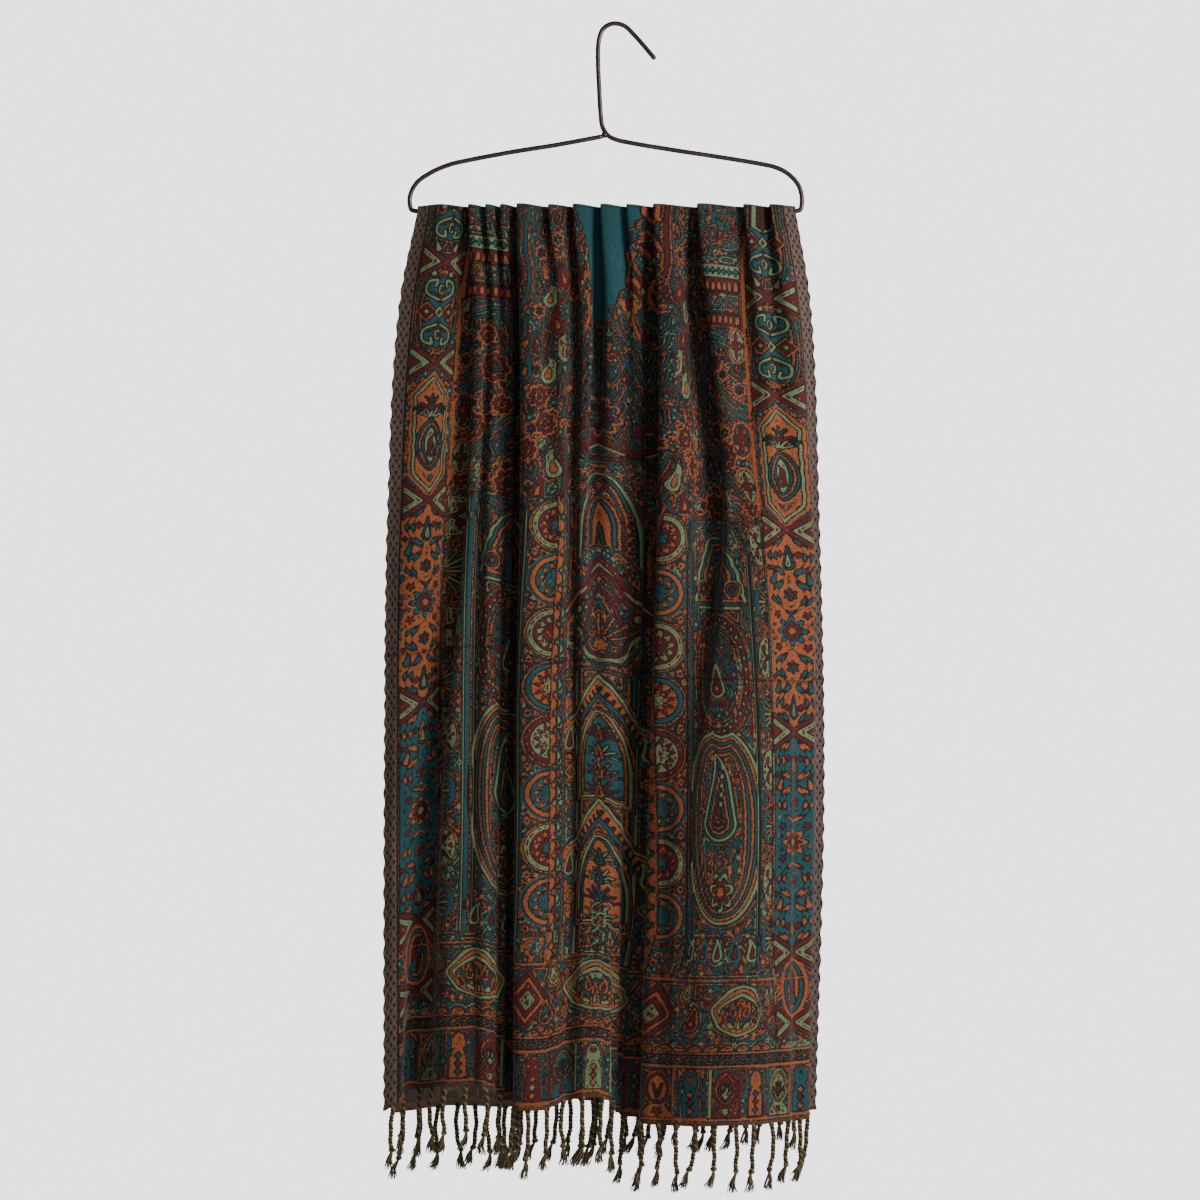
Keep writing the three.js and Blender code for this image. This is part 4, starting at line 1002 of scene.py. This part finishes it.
class Nodes:
    """Short calls for the node tree of a material, a world or a group: each adds a node, links or
    sets its inputs, and returns its output. The owner's default nodes are cleared away."""

    def __init__(self, owner):
        self.owner = owner
        self.tree = owner.node_tree if hasattr(owner, "node_tree") else owner
        self.tree.nodes.clear()

    @classmethod
    def of_material(cls, name):
        """The nodes of a new material."""
        material = bpy.data.materials.new(name)
        material.use_nodes = True
        return cls(material)

    def put(self, kind, inputs=(), **settings):
        node = self.tree.nodes.new(kind)
        for key, value in settings.items():
            setattr(node, key, value)
        for key, value in dict(inputs).items():
            if isinstance(value, bpy.types.NodeSocket):
                self.tree.links.new(value, node.inputs[key])
            else:
                node.inputs[key].default_value = value
        return node

    def math(self, operation, a, b=0.0, c=0.0, clamp=False):
        node = self.put("ShaderNodeMath", {0: a, 1: b, 2: c}, operation=operation, use_clamp=clamp)
        return node.outputs[0]

    def plus(self, a, b):
        return self.math("ADD", a, b)

    def minus(self, a, b):
        return self.math("SUBTRACT", a, b)

    def times(self, a, b):
        return self.math("MULTIPLY", a, b)

    def fit(self, a, scale, shift):
        return self.math("MULTIPLY_ADD", a, scale, shift)

    def most(self, a, b):
        return self.math("MAXIMUM", a, b)

    def least(self, a, b):
        return self.math("MINIMUM", a, b)

    def size(self, a):
        return self.math("ABSOLUTE", a)

    def mix(self, share, a, b, blend="MIX"):
        node = self.put("ShaderNodeMix", {0: share, 6: a, 7: b}, data_type="RGBA", blend_type=blend)
        return node.outputs[2]

    def noise(self, vector, scale, detail=1.0, rough=0.5, warp=0.0):
        return self.put("ShaderNodeTexNoise", {"Vector": vector, "Scale": scale, "Detail": detail,
                                               "Roughness": rough, "Distortion": warp}).outputs[0]

    def tint(self, colour):
        return (*colour, 1.0)

    def split(self, vector):
        return tuple(self.put("ShaderNodeSeparateXYZ", {0: vector}).outputs)

    def read(self, attribute):
        return self.put("ShaderNodeAttribute", attribute_name=attribute).outputs["Vector"]

    def vector(self, operation, a, *b):
        return self.put("ShaderNodeVectorMath", dict(enumerate((a, *b))), operation=operation).outputs

    def bump(self, height, strength, distance):
        return self.put("ShaderNodeBump", {"Height": height, "Strength": strength,
                                           "Distance": distance}).outputs[0]

    def skin(self, inputs):
        """The material, finished with one Principled surface."""
        shader = self.put("ShaderNodeBsdfPrincipled", inputs)
        self.put("ShaderNodeOutputMaterial", {"Surface": shader.outputs[0]})
        return self.owner

    def either(self, share, a, b):
        """a where the share is 0, b where it is 1."""
        return self.put("ShaderNodeMix", {0: share, 2: a, 3: b}, data_type="FLOAT").outputs[0]

    def strewn(self, vector, density, radius, petals):
        """Small flowers strewn at random, one a cell: the distance from their petals' edge, from
        their hearts' edge, and a random number for each."""
        cell = self.put("ShaderNodeTexVoronoi", {"Vector": vector, "Scale": density, "Randomness": 0.8},
                        voronoi_dimensions="2D").outputs
        offset = self.vector("SUBTRACT", vector, cell["Position"])[0]
        x, y, _ = self.split(offset)
        reach = self.vector("LENGTH", offset)["Value"]
        swing = self.math("COSINE", self.times(self.math("ARCTAN2", y, x), petals))
        edge = self.minus(reach, self.fit(swing, radius * 0.28, radius))
        heart = self.minus(reach, radius * 0.36)
        luck = self.put("ShaderNodeSeparateColor", {0: cell["Color"]}).outputs[0]
        return edge, heart, luck

    def above(self, value, edge, soft):
        """0 below the edge and 1 above it, over a soft width; the other way round where the width is
        negative."""
        return self.math("MULTIPLY_ADD", value, 1 / soft, 0.5 - edge / soft, clamp=True)


def group_of(name, inputs, outputs):
    """A shader node group with named sockets, and its input and output nodes."""
    tree = bpy.data.node_groups.new(name, "ShaderNodeTree")
    for socket, kind, value in inputs:
        made = tree.interface.new_socket(socket, in_out="INPUT", socket_type=kind)
        if value is not None:
            made.default_value = value
    for socket, kind in outputs:
        tree.interface.new_socket(socket, in_out="OUTPUT", socket_type=kind)
    n = Nodes(tree)
    return tree, n, n.put("NodeGroupInput").outputs, n.put("NodeGroupOutput").inputs


def jacquard_group(cloth):
    """Turns the yarns' depths into the woven face. The deepest yarn shows, and its edge steps from
    weave cell to weave cell. Away from an edge rust and teal change over in lines that echo it, then
    in curls and blots; small flowers are strewn over both, sprigs over sage and maroon. A dark
    outline runs where two yarns meet. The selvedge has its lattice, the hem its brown last picks,
    and the packing crease a dark line of painted shade."""
    tree, n, given, result = group_of("jacquard_face", (
        ("Main", "NodeSocketVector", None), ("Accent", "NodeSocketVector", None),
        ("Flat", "NodeSocketVector", None), ("Curl size", "NodeSocketFloat", 0.085),
        ("Curl strength", "NodeSocketFloat", 1.1)),
        (("Color", "NodeSocketColor"), ("Height", "NodeSocketFloat"), ("Roughness", "NodeSocketFloat")))
    dyed = {name: n.tint(getattr(cloth, name)) for name in (
        "rust", "teal", "sage", "maroon", "ink", "ochre", "selvedge", "fell")}
    rust, teal, sage = n.split(given["Main"])
    maroon, _, clear = n.split(given["Accent"])
    s, v, q = n.split(given["Flat"])
    place = n.put("ShaderNodeCombineXYZ", {0: n.size(s), 1: n.times(v, 0.9)}).outputs[0]
    cell = n.vector("SNAP", given["Flat"], (WEAVE_CELL, WEAVE_CELL, 1000.0))[0]
    step = n.put("ShaderNodeTexWhiteNoise", {"Vector": cell}).outputs["Value"]
    ragged = n.fit(step, WEAVE_CELL, -WEAVE_CELL / 2)
    rust, maroon = n.plus(rust, ragged), n.plus(maroon, ragged)
    depth = n.most(rust, teal)
    clear = n.most(n.least(clear, n.above(depth, 3.6, -0.2)), n.minus(clear, 1.0))
    ground = n.math("SIGN", n.minus(rust, teal))
    # echoes of the edge near it, curls and blots far from it, strewn flowers, then the plain margins
    far = n.above(depth, 5.5, 4.0)
    echo = n.times(n.math("COSINE", n.times(depth, 2 * math.pi / 5.0)), 1.25)
    lead = n.times(n.fit(echo, n.minus(1.0, far), 0.35), ground)
    curl = n.math("COSINE", n.times(n.noise(place, given["Curl size"], 1.0, 0.5, 1.0), 36.0))
    blot = n.times(n.minus(n.noise(place, 0.33, 0.6, 0.5, 1.4), 0.5), 7.0)
    swing = n.fit(curl, given["Curl strength"], blot)
    lead = n.plus(lead, n.times(swing, n.fit(far, 0.75, 0.25)))
    flower, core, luck = n.strewn(place, 0.115, 2.9, 5.0)
    absent = n.times(n.above(luck, 0.55, -0.01), 9.0)
    flower, core = n.plus(flower, absent), n.plus(core, absent)
    over_ground = n.times(ground, n.least(n.times(lead, ground), flower))
    lead = n.either(n.above(flower, 0.9, -0.01), lead, over_ground)
    lead = n.either(n.above(clear, 0.5, 0.05), lead, n.times(ground, n.least(depth, 2.0)))
    # the dyes: patches where sage stands in for rust and maroon for teal, hearts, sprigs and buds
    patch = n.noise(place, 0.05, 1.0)
    filled = n.above(clear, 0.5, -0.05)
    warm = n.mix(n.times(n.above(patch, 0.6, 0.03), filled), dyed["rust"], dyed["sage"])
    cool = n.mix(n.times(n.above(patch, 0.36, -0.03), filled), dyed["teal"], dyed["maroon"])
    face = n.mix(n.above(lead, 0.0, -0.2), warm, cool)
    hearts = n.times(n.above(core, 0.0, -0.4), filled)
    face = n.mix(hearts, face, n.mix(n.above(luck, 0.78, 0.01), dyed["maroon"], dyed["sage"]))
    sprig, bud, _ = n.strewn(place, 0.16, 2.3, 3.0)
    for own, other, depth_of, motif in (("sage", "maroon", sage, sprig), ("maroon", "sage", maroon, bud)):
        dotted = n.times(n.above(motif, 0.0, -0.4), n.above(depth_of, 1.7, 0.4))
        face = n.mix(n.above(depth_of, 0.0, 0.3), face, n.mix(dotted, dyed[own], dyed[other]))
    accent = n.most(sage, maroon)
    edge = n.least(n.most(n.times(n.size(lead), 0.62), accent), n.most(depth, accent))
    face = n.mix(n.above(edge, 0.44, -0.3), face, dyed["ink"])
    # the selvedge's lattice, counted in lozenges, the rule beside it and the fell
    out = n.minus(n.size(s), SELVEDGE)
    across, along = n.math("DIVIDE", out, LOZENGE[0]), n.math("DIVIDE", v, LOZENGE[1])
    slants = [n.size(n.minus(n.math("FRACT", way(along, across)), 0.5)) for way in (n.plus, n.minus)]
    thread = n.least(*slants)
    lattice = n.mix(n.above(thread, 0.3, 0.08), dyed["selvedge"], dyed["ink"])
    lattice = n.mix(n.above(thread, 0.15, -0.06), lattice, dyed["ink"])
    lattice = n.mix(n.above(thread, 0.07, -0.05), lattice, dyed["ochre"])
    face = n.mix(n.above(out, 0.6, 0.4), face, lattice)
    face = n.mix(n.above(n.size(n.plus(out, 0.4)), 0.9, -0.4), face, dyed["ink"])
    face = n.mix(n.above(q, HALF_LENGTH - 0.8, 0.8), face, dyed["fell"])
    # yarn: a fleck along each pick, slow changes of dye, the twill, and painted shade along the packing
    # crease
    fleck = n.noise(n.vector("MULTIPLY", given["Flat"], (0.9, 1.6, 0.0))[0], 1.0, 1.0, 0.6)
    dye = n.noise(given["Flat"], 0.012, 2.0)
    twill = n.math("SINE", n.times(n.plus(s, n.times(v, 0.8)), 5.2))
    shade = n.times(n.fit(n.plus(fleck, n.times(step, 0.3)), 2.3, -0.42), n.fit(dye, 0.5, 0.75))
    # painted shade: a dark line along the packing crease, standing in for the shadow in its fold
    crease_shade = n.above(n.size(n.minus(v, CREASE_V)), 1.3, -1.6)
    shade = n.times(n.times(shade, n.fit(twill, 0.16, 0.95)), n.fit(crease_shade, -0.55, 1.0))
    grey = n.put("ShaderNodeCombineColor", {0: shade, 1: shade, 2: shade}).outputs[0]
    n.tree.links.new(n.mix(1.0, face, grey, "MULTIPLY"), result["Color"])
    floats = n.times(n.above(edge, 0.6, 0.9), 0.22)
    n.tree.links.new(n.plus(floats, n.times(twill, 0.05)), result["Height"])
    n.tree.links.new(n.fit(fleck, 0.15, 0.74), result["Roughness"])
    return tree


def cloth_material(name, cloth, face_group, fade):
    """The woven face, or with fade above nought the reverse: the same figure, greyed and paler."""
    n = Nodes.of_material(name)
    face = n.put("ShaderNodeGroup", node_tree=face_group, inputs={
        socket: n.read(attribute) for socket, attribute in (
            ("Main", "yarns_main"), ("Accent", "yarns_accent"), ("Flat", "cloth_flat"))}).outputs
    tint = n.mix(fade, face["Color"], n.tint(cloth.reverse)) if fade else face["Color"]
    return n.skin({"Base Color": tint, "Roughness": face["Roughness"], "Sheen Weight": 0.12,
                   "Sheen Roughness": 0.45, "Specular IOR Level": 0.25,
                   "Normal": n.bump(face["Height"], 0.5, 0.001)})


def fringe_material(fringe):
    """Two-ply yarn: each ply its own colour, with flecks of the other and a fibre bump."""
    n = Nodes.of_material("twisted_yarn")
    fleck = n.noise(n.put("ShaderNodeTexCoord").outputs["Object"], 900.0, 2.0, 0.6)
    ply = n.times(n.split(n.read("ply"))[0], 0.75)
    share = n.math("ADD", ply, n.fit(fleck, 0.9, -0.33), clamp=True)
    return n.skin({"Base Color": n.mix(share, n.tint(fringe.dark), n.tint(fringe.gold)), "Roughness": 0.82,
                   "Sheen Weight": 0.15, "Specular IOR Level": 0.25, "Normal": n.bump(fleck, 0.6, 0.0006)})


def wire_material(wire):
    """Dark-bronze lacquer, rubbed a little brighter in patches and pitted finely."""
    n = Nodes.of_material("bronze_lacquer")
    place = n.put("ShaderNodeTexCoord").outputs["Object"]
    patches = n.noise(place, 60.0, 3.0, 0.6)
    tint = n.mix(n.above(patches, 0.62, 0.3), n.tint(wire.lacquer), n.tint(wire.rubbed))
    return n.skin({"Base Color": tint, "Metallic": 0.7, "Roughness": n.fit(patches, 0.2, 0.28),
                   "Normal": n.bump(n.noise(place, 1400.0, 2.0), 0.25, 0.0003)})


def paper_material():
    """The pale stage: matt paper to the lights, and an even white glow to the camera."""
    n = Nodes.of_material("pale_paper")
    paper = n.put("ShaderNodeBsdfPrincipled", {"Base Color": n.tint(PAPER), "Roughness": 0.9}).outputs[0]
    white = n.put("ShaderNodeEmission", {"Color": n.tint(WHITE), "Strength": BACKDROP_GLOW}).outputs[0]
    seen = n.put("ShaderNodeLightPath").outputs["Is Camera Ray"]
    shown = n.put("ShaderNodeMixShader", {0: seen, 1: paper, 2: white}).outputs[0]
    n.put("ShaderNodeOutputMaterial", {"Surface": shown})
    return n.owner


# ---- settings ---------------------------------------------------------------------------------

def colour_property(name, description, default):
    """A colour in linear light."""
    return FloatVectorProperty(name=name, description=description, default=default, size=3, min=0, max=1,
                               subtype="COLOR")


def number_property(name, description, default, **settings):
    """A number with its unit or its least value."""
    return FloatProperty(name=name, description=description, default=default, **settings)


class ClothSettings(bpy.types.PropertyGroup):
    """The woven cloth."""
    thickness: number_property("Thickness", "Thickness of the cloth", 0.0009, min=0.0004, unit="LENGTH")
    front_pitch: number_property("Front pitch", "Millimetres between the front's vertices", 1.55, min=1.0)
    back_pitch: number_property("Back pitch", "Millimetres between the back's vertices", 2.3, min=1.0)
    rust: colour_property("Rust", "The orange yarn", (0.225, 0.06, 0.018))
    teal: colour_property("Teal", "The blue-green yarn", (0.008, 0.05, 0.058))
    sage: colour_property("Sage", "The pale green yarn", (0.11, 0.15, 0.07))
    maroon: colour_property("Maroon", "The wine-red yarn", (0.068, 0.006, 0.006))
    ink: colour_property("Ink", "The near-black warp of the outlines", (0.006, 0.004, 0.003))
    ochre: colour_property("Ochre", "The lattice's fine lines", (0.21, 0.115, 0.05))
    selvedge: colour_property("Selvedge", "The purple-grey ground of the lattice", (0.085, 0.068, 0.088))
    fell: colour_property("Fell", "The brown last picks at the hem", (0.07, 0.03, 0.013))
    reverse: colour_property("Reverse", "What greys the reverse side", (0.3, 0.24, 0.18))


class FringeSettings(bpy.types.PropertyGroup):
    """The twisted fringe."""
    dark: colour_property("Dark ply", "The black-brown ply", (0.014, 0.009, 0.005))
    gold: colour_property("Gold ply", "The olive-gold ply", (0.16, 0.104, 0.034))


class WireSettings(bpy.types.PropertyGroup):
    """The hanger's wire."""
    sides: IntProperty(name="Sides", description="Flats round the wire", default=16, min=8)
    lacquer: colour_property("Lacquer", "The dark bronze lacquer", (0.07, 0.046, 0.038))
    rubbed: colour_property("Rubbed", "Lacquer worn brighter", (0.12, 0.085, 0.068))


class StageSettings(bpy.types.PropertyGroup):
    """Lights and camera."""
    key: number_property("Key light", "Power of the soft light at the right", 43.0, unit="POWER")
    fill: number_property("Fill light", "Power of the weak light in front", 5.0, unit="POWER")
    rear: number_property("Rear light", "Power of the soft light behind", 50.0, unit="POWER")
    distance: number_property("Distance", "Camera to the bar", 3.0, unit="LENGTH")


# ---- operators --------------------------------------------------------------------------------

class SCARF_OT_hanger(bpy.types.Operator):
    """Make the bent wire and the bead of its weld"""
    bl_idname = "scarf.hanger"
    bl_label = "Hanger"

    def execute(self, context):
        wire = context.scene.scarf_wire
        flat = wire_axis(WIRE_PATH, 14)
        axis = np.stack([flat[:, 0], 0 * flat[:, 0], flat[:, 1]], axis=-1)
        radius = np.full(len(axis), WIRE_RADIUS)
        radius[[0, -1]] *= 0.8
        t = np.linspace(0, math.pi, 13)
        bead = np.stack([WELD[0] - 3.1 * np.cos(t), 0 * t, WELD[1] - 0.5 * np.cos(t)], axis=-1)
        made = [(*tubes(line[None], r[None], sides), [])
                for line, r, sides in ((axis, radius, wire.sides), (bead, 3.3 * np.sin(t) + 0.05, 16))]
        piece, _ = joined("wire", made)
        piece.data.materials.append(wire_material(wire))
        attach(piece, "root")
        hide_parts("hanger_wire")
        return {"FINISHED"}


class SCARF_OT_cloth(bpy.types.Operator):
    """Make the front and back stretches of the cloth"""
    bl_idname = "scarf.cloth"
    bl_label = "Cloth"

    def execute(self, context):
        cloth = context.scene.scarf_cloth
        face = jacquard_group(cloth)
        materials = (cloth_material("jacquard_face", cloth, face, 0.0),
                     cloth_material("jacquard_reverse", cloth, face, 0.35))
        thickness = cloth.thickness / MM
        cloth_pieces("front", FRONT_FOLDS, -1, cloth.front_pitch, 3, thickness, materials)
        cloth_pieces("back", BACK_FOLDS, 1, cloth.back_pitch, 2, thickness, materials)
        return {"FINISHED"}


class SCARF_OT_fringe(bpy.types.Operator):
    """Make both rows of twisted fringe"""
    bl_idname = "scarf.fringe"
    bl_label = "Fringe"

    def execute(self, context):
        yarn = fringe_material(context.scene.scarf_fringe)
        fringe_piece("fringe_front", FRONT_FOLDS, -1, yarn)
        fringe_piece("fringe_back", BACK_FOLDS, 1, yarn)
        return {"FINISHED"}


class SCARF_OT_stage(bpy.types.Operator):
    """Set up the pale floor and backdrop, the soft lights and the camera"""
    bl_idname = "scarf.stage"
    bl_label = "Stage"

    def execute(self, context):
        stage, scene = context.scene.scarf_stage, context.scene
        t = np.linspace(0, math.pi / 2, 13)
        y = np.concatenate([[FLOOR_FRONT_Y], WALL_Y - COVE * (1 - np.sin(t)), [WALL_Y]]) / MM
        z = np.concatenate([[FLOOR_Z], FLOOR_Z + COVE * (1 - np.cos(t)), [WALL_TOP_Z]]) / MM
        x = np.array([-STAGE_HALF_WIDTH, STAGE_HALF_WIDTH]) / MM
        grid = np.stack(np.broadcast_arrays(x, y[:, None], z[:, None]), axis=-1)
        index = np.arange(2 * len(y)).reshape(-1, 2)
        sweep = mesh_object("sweep", grid.reshape(-1, 3), [quads_of(index)[:, ::-1]])
        sweep.data.materials.append(paper_material())
        for name, place, size in LAMPS:
            light = bpy.data.lights.new(name, "AREA")
            light.energy = getattr(stage, name)
            light.size = size
            lamp = bpy.data.objects.new(name, light)
            lamp.visible_camera = False
            lamp.location = place
            aim = np.array(LAMP_TARGET) - np.array(place)
            pitch, yaw = math.acos(-aim[2] / np.linalg.norm(aim)), math.atan2(aim[1], aim[0]) - math.pi / 2
            lamp.rotation_euler = (pitch, 0, yaw)
            scene.collection.objects.link(lamp)
        world = bpy.data.worlds.new("studio")
        world.use_nodes = True
        n = Nodes(world)
        seen = n.put("ShaderNodeLightPath").outputs["Is Camera Ray"]
        sky = n.put("ShaderNodeBackground", {
            "Color": n.tint(WHITE), "Strength": n.either(seen, SKY_LIGHT, BACKDROP_GLOW)})
        n.put("ShaderNodeOutputWorld", {"Surface": sky.outputs[0]})
        scene.world = world
        lens = bpy.data.cameras.new("camera")
        lens.lens = FOCAL_LENGTH
        lens.sensor_width = 36.0
        lens.clip_end = 30.0
        camera = bpy.data.objects.new("camera", lens)
        camera.location = (CAMERA_X, -stage.distance, CAMERA_Z)
        camera.rotation_euler = (math.pi / 2, 0, 0)
        scene.collection.objects.link(camera)
        scene.camera = camera
        return {"FINISHED"}


class SCARF_PT_panel(bpy.types.Panel):
    """The scarf's settings and its makers"""
    bl_idname = "SCARF_PT_panel"
    bl_label = "Scarf on a wire hanger"
    bl_space_type = "VIEW_3D"
    bl_region_type = "UI"
    bl_category = "Scarf"

    def draw(self, context):
        for group, (kind, operator) in SETTINGS.items():
            box = self.layout.box()
            for name in kind.__annotations__:
                box.prop(getattr(context.scene, group), name)
            box.operator(operator)


SETTINGS = {"scarf_wire": (WireSettings, "scarf.hanger"), "scarf_cloth": (ClothSettings, "scarf.cloth"),
            "scarf_fringe": (FringeSettings, "scarf.fringe"), "scarf_stage": (StageSettings, "scarf.stage")}
CLASSES = (ClothSettings, FringeSettings, WireSettings, StageSettings,
           SCARF_OT_hanger, SCARF_OT_cloth, SCARF_OT_fringe, SCARF_OT_stage, SCARF_PT_panel)


def register():
    for item in CLASSES:
        bpy.utils.register_class(item)
    for group, (kind, _) in SETTINGS.items():
        setattr(bpy.types.Scene, group, PointerProperty(type=kind))


def unregister():
    for group in SETTINGS:
        delattr(bpy.types.Scene, group)
    for item in reversed(CLASSES):
        bpy.utils.unregister_class(item)


def main():
    register()
    bpy.ops.scarf.stage()
    bpy.ops.scarf.hanger()
    bpy.ops.scarf.cloth()
    bpy.ops.scarf.fringe()


if __name__ == "__main__":
    main()
